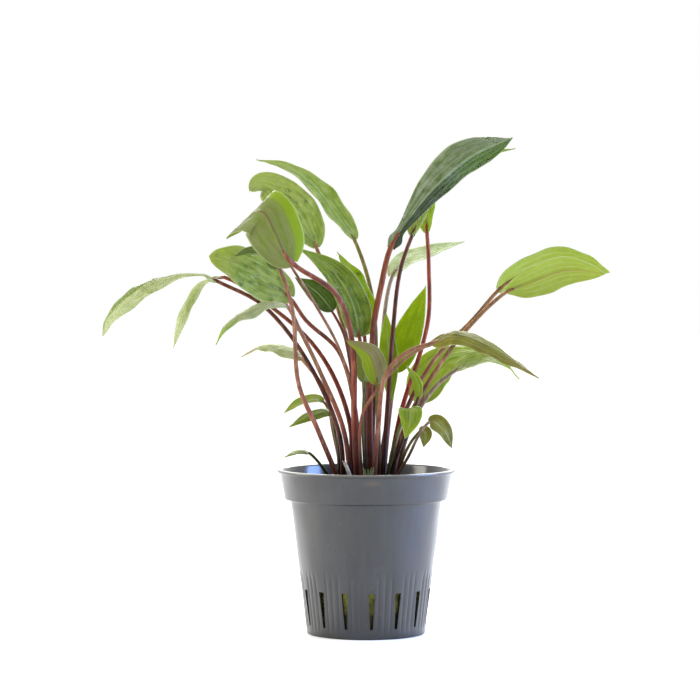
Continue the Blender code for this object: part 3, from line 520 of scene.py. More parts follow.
youngLeaves = {
    "01": {"foot": (-1.5, -2), "stalk": [(-3, -3, 65.5), (-7.5, -6, 82.5), (-15.5, -10, 97.5)],
        "base": (-21.5, -13, 107), "spine": [(-24.5, -13, 112.5), (-26.5, -11, 118)],
        "tip": (-27, -8, 123.5), "up": [(0.4, 0.8, 0.4), (0, 0.8, 0.4)], "width": 6, "fold": 10},
    "02": {"foot": (-4.5, 3.5), "stalk": [(-3.5, 4, 65), (-6, 5, 85.5)], "base": (-10, 6, 94),
        "spine": [(-14.5, 7, 99.5)], "tip": (-21, 8, 104), "up": [(0.4, -0.9, 0.4)], "width": 8,
        "fold": 8},
    "03": {"foot": (3.5, 2), "stalk": [(5, 4, 56)], "base": (7, 6, 67),
        "spine": [(7, 9, 76), (6.5, 11, 84)], "tip": (6, 13, 93.5), "up": [(0, -1, 0.1)],
        "width": 5.5, "fold": 8, "swell": 1.7},
    "04": {"foot": (-1, -9), "stalk": [(-1.5, -11.2, 63), (3.5, -12, 72), (10.5, -12.5, 80)],
        "base": (17, -11, 84), "spine": [(24.5, -12, 86.5), (32, -13, 85)], "tip": (38.5, -14, 81.5),
        "up": [(0, -0.3, 1)], "width": 5, "fold": 15},
    "05": {"foot": (0, -5.5), "stalk": [(-1, -6.5, 61)], "base": (-0.5, -7.5, 73.5),
        "spine": [(-0.5, -8.5, 78.5)], "tip": (-3, -10, 83), "up": [(-0.2, 0.8, 0.4)], "width": 5,
        "fold": 10},
    "06": {"foot": (5.5, -6), "stalk": [(8.5, -9, 57)], "base": (12, -13, 66),
        "spine": [(12.5, -18, 63.5)], "tip": (11, -20, 58),
        "up": [(0, -0.3, 1), (0, -0.95, 0.4), (0, -1, 0.2)], "width": 7, "fold": 12},
    "07": {"foot": (7, -7), "stalk": [(12, -10, 52)], "base": (18, -15, 62.5),
        "spine": [(22, -16, 60.5)], "tip": (24.5, -16, 55), "up": [(0.3, -0.8, 0.6)], "width": 6,
        "fold": 4},
    "08": {"foot": (8, -4.5), "stalk": [(11.5, -7, 53.5)], "base": (15.5, -9, 59.5),
        "spine": [(17, -10, 59)], "tip": (16.5, -11, 55), "up": [(0.1, -0.9, 0.4)], "width": 4,
        "fold": 8},
    "09": {"foot": (5.5, -3.5), "stalk": [(10.5, -6, 56.5)], "base": (15, -7, 69),
        "spine": [(15, -7, 73.5)], "tip": (11.5, -6.5, 78.5), "up": [(-0.7, -0.7, 0.1)], "width": 3.5,
        "fold": 8},
    "10": {"foot": (-7.5, 2), "stalk": [(-9, 3, 57.5)], "base": (-12.5, 3, 67.5),
        "spine": [(-18.5, 1, 67.5)], "tip": (-24, -2, 64.5), "up": [(-0.1, -0.5, 0.8)], "width": 5,
        "fold": 12},
    "11": {"foot": (-8, -0.5), "stalk": [(-8, -1, 54)], "base": (-10, -2, 64),
        "spine": [(-16, -4, 64)], "tip": (-22.5, -6, 60.5), "up": [(-0.1, -0.6, 0.8)], "width": 5,
        "fold": -12},
    "12": {"foot": (-9, -3.5), "stalk": [(-11.5, -4.5, 47)], "base": (-16.5, -6, 53),
        "spine": [(-20, -7, 53.5)], "tip": (-23.5, -8, 52), "up": [(-0.1, -0.3, 1)], "width": 3.5,
        "fold": -12},
}


# Living leaf: a thin two-sided film, part glossy cuticle, part light passing through

leafLook = {
    "roughness": 0.36, "coat": 0.04, "coatRoughness": 0.12, "through": 0.5,
    "mottleSize": 2.6, "streakSize": 1.1, "netSize": 1.25, "netDepth": 0.05, "veinStrength": 0.32,
    "filmSize": 3.2, "rippleSize": 0.9, "rippleDepth": 0.16,
}


def colourMix(tree, share, low, high):
    node = addNode(tree, "ShaderNodeMix", {"data_type": "RGBA"}, {0: share, 6: low, 7: high})
    return node.outputs[2]


def ramp(tree, value, stops):
    node = addNode(tree, "ShaderNodeValToRGB", None, {0: value})
    points = node.color_ramp.elements
    while len(points) < len(stops):
        points.new(0.5)
    for point, (place, grey) in zip(points, stops):
        point.position = place
        point.color = (grey, grey, grey, 1)
    return node.outputs[0]


def maths(tree, kind, first, second=0.0, clamp=False):
    node = addNode(tree, "ShaderNodeMath", {"operation": kind, "use_clamp": clamp}, {0: first, 1: second})
    return node.outputs[0]


def leafMaterial(name, look, length, width):
    # Leaf blade with a waxy cuticle: two greens in soft streaks, pale veins and a fine net between them,
    # lighter dull underside, and light that glows through the thin tissue; on some leaves one half is painted
    # dark as painted shade.
    s = leafLook
    material, tree = newMaterial(name)
    given = addNode(tree, "ShaderNodeUVMap", {"uv_map": "leafMap"})
    parts = addNode(tree, "ShaderNodeSeparateXYZ", None, {0: given.outputs[0]})
    isUnder = maths(tree, "GREATER_THAN", parts.outputs[0], 0.5)
    half = maths(tree, "MULTIPLY", isUnder, 0.5)
    along = maths(tree, "DIVIDE", maths(tree, "SUBTRACT", parts.outputs[0], half), 0.48)
    across = maths(tree, "MULTIPLY", maths(tree, "SUBTRACT", parts.outputs[1], 0.5), 2.08)
    outward = maths(tree, "ABSOLUTE", across)
    # millimetres along and across, with each leaf's own patch of the patterns
    place = addNode(tree, "ShaderNodeCombineXYZ", None, {
        0: maths(tree, "MULTIPLY", along, length), 1: maths(tree, "MULTIPLY", across, width / 2),
        2: look["seed"] * 7.3})
    long = addNode(tree, "ShaderNodeMapping", None, {
        "Vector": place.outputs[0], "Scale": (0.16, 1.0, 1.0)})
    streaks = addNode(tree, "ShaderNodeTexNoise", None, {
        "Vector": long.outputs[0], "Scale": 1 / s["streakSize"], "Detail": 4.0, "Roughness": 0.6})
    mottle = addNode(tree, "ShaderNodeTexNoise", None, {
        "Vector": place.outputs[0], "Scale": 1 / s["mottleSize"], "Detail": 3.0})
    net = addNode(tree, "ShaderNodeTexVoronoi", {"feature": "DISTANCE_TO_EDGE"}, {
        "Vector": place.outputs[0], "Scale": 1 / s["netSize"]})
    lines = ramp(tree, net.outputs[0], [(0.0, 1), (0.07, 0)])
    blend = maths(tree, "ADD", streaks.outputs[0], maths(tree, "MULTIPLY", mottle.outputs[0], 0.7))
    blend = ramp(tree, blend, [(0.72, 0), (0.98, 1)])
    upper = colourMix(tree, blend, toLinear(look["upper"]), toLinear(look["deep"]))
    tipShare = ramp(tree, along, [(0.62, 0), (1.0, 1)])
    upper = colourMix(tree, tipShare, upper, toLinear(look.get("tip", look["upper"])))
    # painted shade: one half of the blade, on the side the sign picks, is painted dark, from the first colour
    # near the base to the second toward the tip
    if "dark" in look:
        colour, shadeTipColour, sign = look["dark"]
        shadeSide = maths(tree, "MULTIPLY", across, sign)
        shade = colourMix(tree, ramp(tree, along, [(0.45, 0), (0.75, 1)]),
                          toLinear(colour), toLinear(shadeTipColour))
        upper = colourMix(tree, ramp(tree, shadeSide, [(0.02, 0), (0.16, 1)]), upper, shade)
    under = colourMix(tree, blend, toLinear(look["under"]), toLinear(look.get("underDeep", look["under"])))
    if "underDark" in look:
        colour, sign, start = look["underDark"]
        shadeSide = maths(tree, "MULTIPLY", across, sign)
        strip = ramp(tree, shadeSide, [(start, 0), (start + 0.2, 1)])
        under = colourMix(tree, strip, under, toLinear(colour))
    face = colourMix(tree, isUnder, upper, under)
    near = ramp(tree, along, [(0.0, 0), (0.2, 1)])
    spot = maths(tree, "DIVIDE", outward, maths(tree, "ADD", maths(tree, "MULTIPLY", near, 0.9), 0.1))
    veins = ramp(tree, spot, [(0.26, 0), (0.3, 1), (0.34, 0), (0.56, 0), (0.6, 0.8), (0.64, 0)])
    veins = maths(tree, "MAXIMUM", veins, maths(tree, "MULTIPLY", lines, 0.35))
    veins = maths(tree, "MULTIPLY", veins, s["veinStrength"])
    face = colourMix(tree, veins, face, toLinear(look["vein"]))
    midrib = ramp(tree, outward, [(0.35 / width, 1), (0.8 / width, 0)])
    face = colourMix(tree, maths(tree, "MULTIPLY", midrib, 0.6), face, toLinear(look["midrib"]))
    edge = ramp(tree, outward, [(0.93, 0), (1.0, 0.6)])
    face = colourMix(tree, edge, face, toLinear(look["edge"]))
    depth = maths(tree, "ADD", maths(tree, "MULTIPLY", lines, -1.0), mottle.outputs[0])
    bump = addNode(tree, "ShaderNodeBump", None, {
        "Strength": 0.5, "Distance": s["netDepth"] * mm, "Height": depth})
    shine = ramp(tree, mottle.outputs[0], [(0.3, look["roughness"] - 0.08), (0.7, look["roughness"] + 0.1)])
    coat, coatNormal = look["coat"], bump.outputs[0]
    if look["wet"]:
        # broken patches of water film, rippled so that they catch the lamps as white glints
        film = addNode(tree, "ShaderNodeTexNoise", None, {
            "Vector": place.outputs[0], "Scale": 1 / s["filmSize"], "Detail": 2.0, "Distortion": 0.8})
        coat = ramp(tree, film.outputs[0], [(0.5, look["coat"]), (0.56, look["wet"])])
        ripple = addNode(tree, "ShaderNodeTexNoise", None, {
            "Vector": place.outputs[0], "Scale": 1 / s["rippleSize"], "Detail": 1.0})
        coatNormal = addNode(tree, "ShaderNodeBump", None, {
            "Strength": 1.0, "Distance": s["rippleDepth"] * mm, "Height": ripple.outputs[0]}).outputs[0]
    surface = addNode(tree, "ShaderNodeBsdfPrincipled", None, {
        "Base Color": face, "Roughness": shine, "Normal": bump.outputs[0], "IOR": 1.45,
        "Specular IOR Level": 0.18, "Coat Weight": coat, "Coat Roughness": s["coatRoughness"],
        "Coat IOR": 1.4, "Coat Normal": coatNormal})
    glow = colourMix(tree, 0.7, face, toLinear(look["glow"]))
    through = addNode(tree, "ShaderNodeBsdfTranslucent", None, {"Color": glow, "Normal": bump.outputs[0]})
    both = addNode(tree, "ShaderNodeMixShader", None, {
        0: look["through"], 1: surface.outputs[0], 2: through.outputs[0]})
    addNode(tree, "ShaderNodeOutputMaterial", None, {"Surface": both.outputs[0]})
    return material


# Petioles: colours at the foot (near black, a painted shade low at the crown), halfway and at the blade, and
# the pale streak along them (partly a painted highlight)

petioleColours = {
    "red": ("#1e0804", "#68240f", "#6a3218", "#a86a50"),
    "darkRed": ("#180603", "#4c1c0e", "#502614", "#8c5a44"),
    "fullRed": ("#280a05", "#7e2812", "#783218", "#b06c50"),
    "orange": ("#280e06", "#703614", "#60401a", "#a0744c"),
    "pinkBrown": ("#2c120c", "#80442e", "#785034", "#c09078"),
    "tan": ("#28100a", "#6a381e", "#785430", "#b89070"),
    "grey": ("#2e1e14", "#6c503c", "#786650", "#b09c86"),
    "olive": ("#221408", "#543414", "#60581c", "#9a8a58"),
    "green": ("#181806", "#3a3c0e", "#505c1a", "#808a4a"),
    "dark": ("#120703", "#361c0e", "#44341a", "#6e5640"),
}
petioleLook = {"roughness": 0.42, "coat": 0.04, "streakSize": 0.35, "grainDepth": 0.03}


def stalkMaterial(name, colours):
    # Fleshy leaf stalk: red-brown skin, painted nearly black low at the crown as painted shade, with pale
    # lengthwise streaks that are partly painted highlights, and a damp shine.
    s = petioleLook
    foot, middle, top, streak = [toLinear(colour) for colour in colours]
    material, tree = newMaterial(name)
    share = addNode(tree, "ShaderNodeAttribute", {"attribute_name": "along"})
    place = addNode(tree, "ShaderNodeTexCoord")
    stretched = addNode(tree, "ShaderNodeMapping", None, {
        "Vector": place.outputs["Object"], "Scale": (1.0, 1.0, 0.09)})
    streaks = addNode(tree, "ShaderNodeTexNoise", None, {
        "Vector": stretched.outputs[0], "Scale": 1000 / s["streakSize"] / 3, "Detail": 3.0})
    mottle = addNode(tree, "ShaderNodeTexNoise", None, {
        "Vector": place.outputs["Object"], "Scale": 260.0, "Detail": 3.0})
    height = addNode(tree, "ShaderNodeSeparateXYZ", None, {0: place.outputs["Object"]})
    low = addNode(tree, "ShaderNodeMapRange", None, {
        "Value": height.outputs[2], "From Min": 43 * mm, "From Max": 64 * mm})
    face = colourMix(tree, ramp(tree, share.outputs["Fac"], [(0.35, 0), (0.6, 1)]), middle, top)
    # painted shade: below about 64 mm the stalk darkens toward the near-black foot colour at the crown
    face = colourMix(tree, low.outputs[0], foot, face)
    # the pale streaks are partly painted highlights along the stalk
    light = ramp(tree, streaks.outputs[0], [(0.52, 0), (0.7, 0.4)])
    face = colourMix(tree, maths(tree, "MULTIPLY", light, low.outputs[0]), face, streak)
    deep = ramp(tree, mottle.outputs[0], [(0.34, 0.5), (0.5, 0)])
    face = colourMix(tree, deep, face, foot)
    bump = addNode(tree, "ShaderNodeBump", None, {
        "Strength": 0.4, "Distance": s["grainDepth"] * mm, "Height": streaks.outputs[0]})
    surface = addNode(tree, "ShaderNodeBsdfPrincipled", None, {
        "Base Color": face, "Roughness": s["roughness"], "Normal": bump.outputs[0], "IOR": 1.45,
        "Specular IOR Level": 0.22, "Coat Weight": s["coat"], "Coat Roughness": 0.15,
        "Subsurface Weight": 0.15,
        "Subsurface Radius": (1.0, 0.35, 0.2), "Subsurface Scale": 0.6 * mm})
    addNode(tree, "ShaderNodeOutputMaterial", None, {"Surface": surface.outputs[0]})
    return material


def waterMaterial():
    # Clear water lying on the leaves: smooth, and it bends light as water does.
    material, tree = newMaterial("waterDrops")
    surface = addNode(tree, "ShaderNodeBsdfPrincipled", None, {
        "Base Color": toLinear("#ffffff"), "Roughness": 0.02, "IOR": 1.333, "Transmission Weight": 1.0})
    addNode(tree, "ShaderNodeOutputMaterial", None, {"Surface": surface.outputs[0]})
    return material


# The plant's greens: upper face, its deeper patches, underside, light that shines through
greens = {
    "spring": ("#98a43c", "#788a30", "#a0aa46", "#a8ba42"),
    "fresh": ("#9ca662", "#6a803a", "#96a068", "#a8b848"),
    "moss": ("#829030", "#566c1c", "#7c8846", "#9cae2c"),
    "sage": ("#aeb28e", "#909870", "#9ca27e", "#b2ba76"),
    "mist": ("#c6ccaa", "#9aa474", "#acb488", "#bec688"),
    "olive": ("#8c8a36", "#726e2c", "#88804e", "#a29c3a"),
    "forest": ("#50641e", "#384e14", "#54662a", "#708a24"),
    "lime": ("#92a212", "#6e8410", "#8c9830", "#acc212"),
    # slateSheen: leaf green with a painted sheen mixed in that greys it, for leaf 12's upper half
    "slateSheen": ("#8c9680", "#5a6c44", "#7c8660", "#8a9c50"),
}
# What each leaf has beside its greens: tip, one half painted dark as painted shade, veins, wetness, petiole
leafLooks = {
    "01": {"greens": "fresh", "petiole": "olive"},
    "02": {"greens": "fresh", "petiole": "tan", "wet": 1},
    "03": {"greens": "moss", "underDeep": "#8a8c5e", "underDark": ("#8ea82c", -1, 0.5),
           "midrib": "#6a3428", "vein": "#46542c", "stout": 1.25},
    "04": {"greens": "forest", "petiole": "pinkBrown"},
    "05": {"greens": "fresh", "tip": "#a0a83c", "wet": 1},
    # 06: its far half is painted dark, a painted shade
    "06": {"greens": "mist", "dark": ("#54682c", "#70844a", 1), "petiole": "darkRed"},
    "07": {"greens": "mist"},
    # 08: the sage grey-green near its base is a painted sheen; the tip colour is its plain green
    "08": {"greens": "sage", "tip": "#8cae2c", "petiole": "pinkBrown"},
    "09": {"greens": "moss", "tip": "#8ea03c", "edge": "#ccd48c", "wet": 1},
    "10": {"greens": "lime", "wet": 1},
    "11": {"greens": "sage", "tip": "#b39a86", "petiole": "tan"},
    # 12: its lower half is painted near black as painted shade, turning greener toward the tip
    "12": {"greens": "slateSheen", "dark": ("#0c1602", "#40580e", 1), "vein": "#b4bca8", "wet": 0.6,
           "stout": 1.4},
    "13": {"greens": "moss", "under": "#c4c8b0", "petiole": "darkRed", "wet": 1},
    "14": {"greens": "lime", "petiole": "fullRed"},
    "15": {"greens": "mist", "petiole": "grey"},
    "16": {"greens": "lime", "midrib": "#76880e", "vein": "#a8bc30", "petiole": "orange"},
    "17": {"greens": "olive", "tip": "#8e7a4a", "petiole": "pinkBrown"},
    "18": {"greens": "spring", "petiole": "tan"},
    "19": {"greens": "fresh", "tip": "#94ae2a", "petiole": "grey"},
    "20": {"greens": "spring", "midrib": "#b08464", "vein": "#e0e0b0", "petiole": "tan"},
    "21": {"greens": "spring", "midrib": "#b08464", "vein": "#e0e0b0", "petiole": "tan"},
    "22": {"greens": "olive", "underDark": ("#90aa1c", 1, 0.02), "midrib": "#a08a6c", "petiole": "olive"},
}
youngLooks = {
    "01": {"greens": "moss", "petiole": "pinkBrown"},
    "02": {"greens": "forest"},
    "03": {"greens": "lime", "petiole": "orange"},
    "04": {"greens": "olive", "petiole": "pinkBrown"},
    "05": {"greens": "moss", "petiole": "green"},
    "06": {"greens": "lime", "under": "#a2a494", "wet": 1, "petiole": "green"},
    "07": {"greens": "olive", "tip": "#5e562a", "petiole": "grey"},
    "08": {"greens": "olive", "petiole": "olive"},
    "09": {"greens": "lime", "petiole": "dark"},
    "10": {"greens": "spring", "petiole": "olive"},
    "11": {"greens": "moss", "petiole": "dark"},
    "12": {"greens": "moss", "petiole": "green"},
}
plainLook = {"vein": "#c4cc98", "midrib": "#aab47e", "edge": "#d0d6a0", "petiole": "red", "stout": 1.0,
             "wet": 0, "roughness": leafLook["roughness"], "coat": leafLook["coat"],
             "through": leafLook["through"]}
dropsOnLeaves = {"Spacing": 1.5 * mm, "Density": 160000.0, "Smallest": 0.14 * mm, "Largest": 0.8 * mm,
                 "Lean": 0.1}


def makeLeaves(table, looks, young):
    s = bladeShape
    rows, columns = (s["youngRows"], s["youngColumns"]) if young else (s["rows"], s["columns"])
    for number, leaf in table.items():
        seed = int(number) + (100 if young else 0)
        random = np.random.default_rng(seed)
        shades = dict(zip(("upper", "deep", "under", "glow"), greens[looks[number]["greens"]]))
        look = {**plainLook, **shades, **looks[number], "seed": seed}
        upper, under, along, across, length = bladeSurface(leaf, rows, columns, random)
        kind = "young_blade_" if young else "blade_"
        mesh = bladeMesh(kind + number, upper, under, along, across)
        paint = leafMaterial("leafSkin_" + str(seed), look, length, leaf["width"])
        blade = newPiece(kind + number, mesh, paint)
        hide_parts(("young_leaf_" if young else "leaf_") + number)
        line = lineMesh("line" + str(seed), [petioleLine({**leaf, "stout": look["stout"]}, young)])
        petiole = runTree("young_petiole_" + number if young else "petiole_" + number, line, tubes, {
            "Sides": petioleShape["sides"], "Ripple": petioleShape["ripple"],
            "Ripple Scale": 1000 / petioleShape["rippleSize"], "Material": stalkPaints[look["petiole"]]})
        if young:
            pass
        else:
            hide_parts("stalk_" + number)
        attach(blade, "root")
        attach(petiole, "root")
        if look["wet"]:
            wet = bpy.data.meshes.new("wetFace")
            index = np.arange(rows * columns).reshape(rows, columns)
            quads = np.stack([index[:-1, :-1], index[:-1, 1:], index[1:, 1:], index[1:, :-1]], axis=-1)
            wet.from_pydata((upper.reshape(-1, 3) * mm).tolist(), [], quads.reshape(-1, 4).tolist())
            chance = np.clip(1.2 - np.abs(np.tile(across, rows)), 0, 1) * look["wet"]
            wet.attributes.new("scatter", "FLOAT", "POINT").data.foreach_set("value", chance)
            drops = runTree("drops_" + str(seed), wet, dropScatter, {
                **dropsOnLeaves, "Seed": seed, "Material": water})
            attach(drops, "root")


stalkPaints = {name: stalkMaterial("stalkSkin_" + name, row) for name, row in petioleColours.items()}
water = waterMaterial()
makeLeaves(leaves, leafLooks, False)
makeLeaves(youngLeaves, youngLooks, True)
print("leaves made:", len(leaves) + len(youngLeaves))


# Net pot, growing medium and crown

potShape = {
    "height": 48.0, "lipRadius": 26.1, "lipHeight": 0.9, "bandTop": 25.0, "bandFoot": 23.8,
    "bandFootZ": 39.2, "bodyTop": 22.1, "baseRadius": 17.2, "baseCorner": 1.0, "wall": 0.9, "floor": 1.0,
    "steps": 540, "slots": 15, "slotTurn": -85.3, "slotLow": 3.0, "slotHigh": 13.4,
    "slotTopWidth": 1.9, "slotFootWidth": 0.8, "drains": 6, "drainInner": 6.0, "drainOuter": 13.0,
    "drainWidth": 1.6, "flutesPerSlot": 4, "fluteDepth": 0.2, "fluteLow": 1.6, "fluteHigh": 18.8,
}
potLook = {
    "body": "#242423", "bodyDark": "#1b1b1a", "lip": "#6e6b62", "inside": "#0c0e12", "stain": "#121211",
    "mud": "#4a3a26", "scuff": "#3a3a38", "roughness": 0.3,
}


def bodyRadius(z):
    p = potShape
    return p["baseRadius"] + (p["bodyTop"] - p["baseRadius"]) * z / p["bandFootZ"]


def roundedLine(points, radius, step):
    # a profile with its corners rounded and its long runs cut into short ones
    points = [np.array(p, float) for p in points]
    line = [points[0]]
    for before, corner, after in zip(points, points[1:], points[2:]):
        toBefore, toAfter = before - corner, after - corner
        cut = min(radius, 0.45 * np.linalg.norm(toBefore), 0.45 * np.linalg.norm(toAfter))
        start = corner + toBefore / np.linalg.norm(toBefore) * cut
        end = corner + toAfter / np.linalg.norm(toAfter) * cut
        for t in (0, 0.33, 0.67, 1):
            line.append(start * (1 - t) ** 2 + corner * 2 * t * (1 - t) + end * t**2)
    line.append(points[-1])
    full = []
    for start, end in zip(line, line[1:]):
        parts = max(1, int(np.linalg.norm(end - start) / step))
        full += [start + (end - start) * i / parts for i in range(parts)]
    return np.array([*full, line[-1]])


def turnedMesh(name, profile, steps, change):
    # profile (radius, z) begins and ends on the axis; change(radius, z, turn) gives new radii and heights
    turn = np.linspace(0, 2 * math.pi, steps, endpoint=False)[None, :]
    ring = profile[1:-1]
    radius, z = change(ring[:, :1] + 0 * turn, ring[:, 1:] + 0 * turn, turn)
    grid = np.stack([radius * np.cos(turn), radius * np.sin(turn), z], axis=-1)
    points = np.vstack([grid.reshape(-1, 3), [(0, 0, profile[0, 1])], [(0, 0, profile[-1, 1])]])
    index = np.arange(len(ring) * steps).reshape(len(ring), steps)
    after = np.roll(index, -1, axis=1)
    sides = np.stack([index[:-1], index[1:], after[1:], after[:-1]], axis=-1).reshape(-1, 4).tolist()
    first, last = len(points) - 2, len(points) - 1
    caps = [(first, a, b) for a, b in zip(index[0].tolist(), after[0].tolist())]
    caps += [(last, b, a) for a, b in zip(index[-1].tolist(), after[-1].tolist())]
    mesh = bpy.data.meshes.new(name)
    mesh.from_pydata((points * mm).tolist(), [], sides + caps)
    return mesh


def wedges(name, rows):
    body = bmesh.new()
    for row in rows:
        turn = math.radians(row["turn"])
        for vertex in bmesh.ops.create_cube(body, size=1.0)["verts"]:
            high = vertex.co.z > 0
            out = row["outer"] if vertex.co.x > 0 else row["inner"]
            across = math.copysign((row["topWidth"] if high else row["footWidth"]) / 2, vertex.co.y)
            vertex.co.x = (out * math.cos(turn) - across * math.sin(turn)) * mm
            vertex.co.y = (out * math.sin(turn) + across * math.cos(turn)) * mm
            vertex.co.z = (row["high"] if high else row["low"]) * mm
    mesh = bpy.data.meshes.new(name)
    body.to_mesh(mesh)
    body.free()
    return mesh


def makePot():
    p = potShape
    inner = p["baseRadius"] - p["wall"]
    step = p["bandFootZ"] + p["wall"]
    top = p["height"]
    inside = [(0, p["floor"]), (inner, p["floor"]), (bodyRadius(step) - p["wall"], step),
              (p["bandFoot"] - p["wall"], step + 0.4), (p["bandTop"] - p["wall"], top - 1.2),
              (p["bandTop"] - 0.55, top)]
    outside = [(p["lipRadius"], top), (p["lipRadius"], top - p["lipHeight"]),
               (p["bandTop"] + 0.2, top - p["lipHeight"]), (p["bandFoot"], p["bandFootZ"] + 0.2),
               (p["bandFoot"] - 0.3, p["bandFootZ"]), (p["bodyTop"], p["bandFootZ"] - 0.1),
               (bodyRadius(0.4), 0.0), (0, 0)]
    profile = roundedLine(inside + outside, 0.45, 1.1)
    sector = 2 * math.pi / p["slots"]
    random = np.random.default_rng(5)

    def change(radius, z, turn):
        # outside only: fine upright flutes between the slots and a slightly uneven moulded wall
        outer = radius > bodyRadius(z) - 0.3
        onFlutes = np.clip((z - p["fluteLow"]) / 0.8, 0, 1) * np.clip((p["fluteHigh"] - z) / 1.2, 0, 1)
        place = (turn - math.radians(p["slotTurn"])) / sector
        share = place - np.floor(place)
        lines = np.abs(np.sin(math.pi * p["flutesPerSlot"] * (share - 0.5))) ** 0.8
        nearSlot = np.clip(np.minimum(share, 1 - share) / 0.1 - 0.6, 0, 1)
        lower = z < p["bandFootZ"] - 1
        cut = p["fluteDepth"] * (1 - lines) * onFlutes * nearSlot * outer * lower
        uneven = 0.04 * softNoise(turn * 8, z * 0.25, 4.0, random)
        return radius - cut + uneven * (radius > 12), z

    mesh = turnedMesh("pot", profile, p["steps"], change)
    rows = [{"turn": p["slotTurn"] + 360 / p["slots"] * i, "inner": 14.3, "outer": 20.6, "low": p["slotLow"],
             "high": p["slotHigh"], "footWidth": p["slotFootWidth"], "topWidth": p["slotTopWidth"]}
            for i in range(p["slots"])]
    rows += [{"turn": 360 / p["drains"] * i, "inner": p["drainInner"], "outer": p["drainOuter"], "low": -1,
              "high": 2, "footWidth": p["drainWidth"], "topWidth": p["drainWidth"]}
             for i in range(p["drains"])]
    cutter = newPiece("slotCutter", wedges("slotCutter", rows))
    source = newPiece("potSource", mesh)
    cut = source.modifiers.new("slots", "BOOLEAN")
    cut.operation = "DIFFERENCE"
    cut.solver = "EXACT"
    cut.object = cutter
    bpy.context.view_layer.update()
    graph = bpy.context.evaluated_depsgraph_get()
    made = bpy.data.meshes.new_from_object(source.evaluated_get(graph))
    made.name = "net_pot"
    bpy.data.objects.remove(source)
    bpy.data.objects.remove(cutter)
    shadeRound(made, 30)
    pot = newPiece("net_pot", made, potMaterial())
    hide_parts("pot")
    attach(pot, "root")


def spotMask(tree, place, centre, size, soft):
    # 1 inside an upright oval on the pot's front, fading over the last part of its reach
    moved = addNode(tree, "ShaderNodeVectorMath", {"operation": "SUBTRACT"}, {
        0: place, 1: [v * mm for v in centre]})
    scaled = addNode(tree, "ShaderNodeVectorMath", {"operation": "MULTIPLY"}, {
        0: moved.outputs[0], 1: [1 / (v * mm) for v in size]})
    reach = addNode(tree, "ShaderNodeVectorMath", {"operation": "LENGTH"}, {0: scaled.outputs[0]})
    return ramp(tree, reach.outputs["Value"], [(1 - soft, 1), (1.0, 0)])


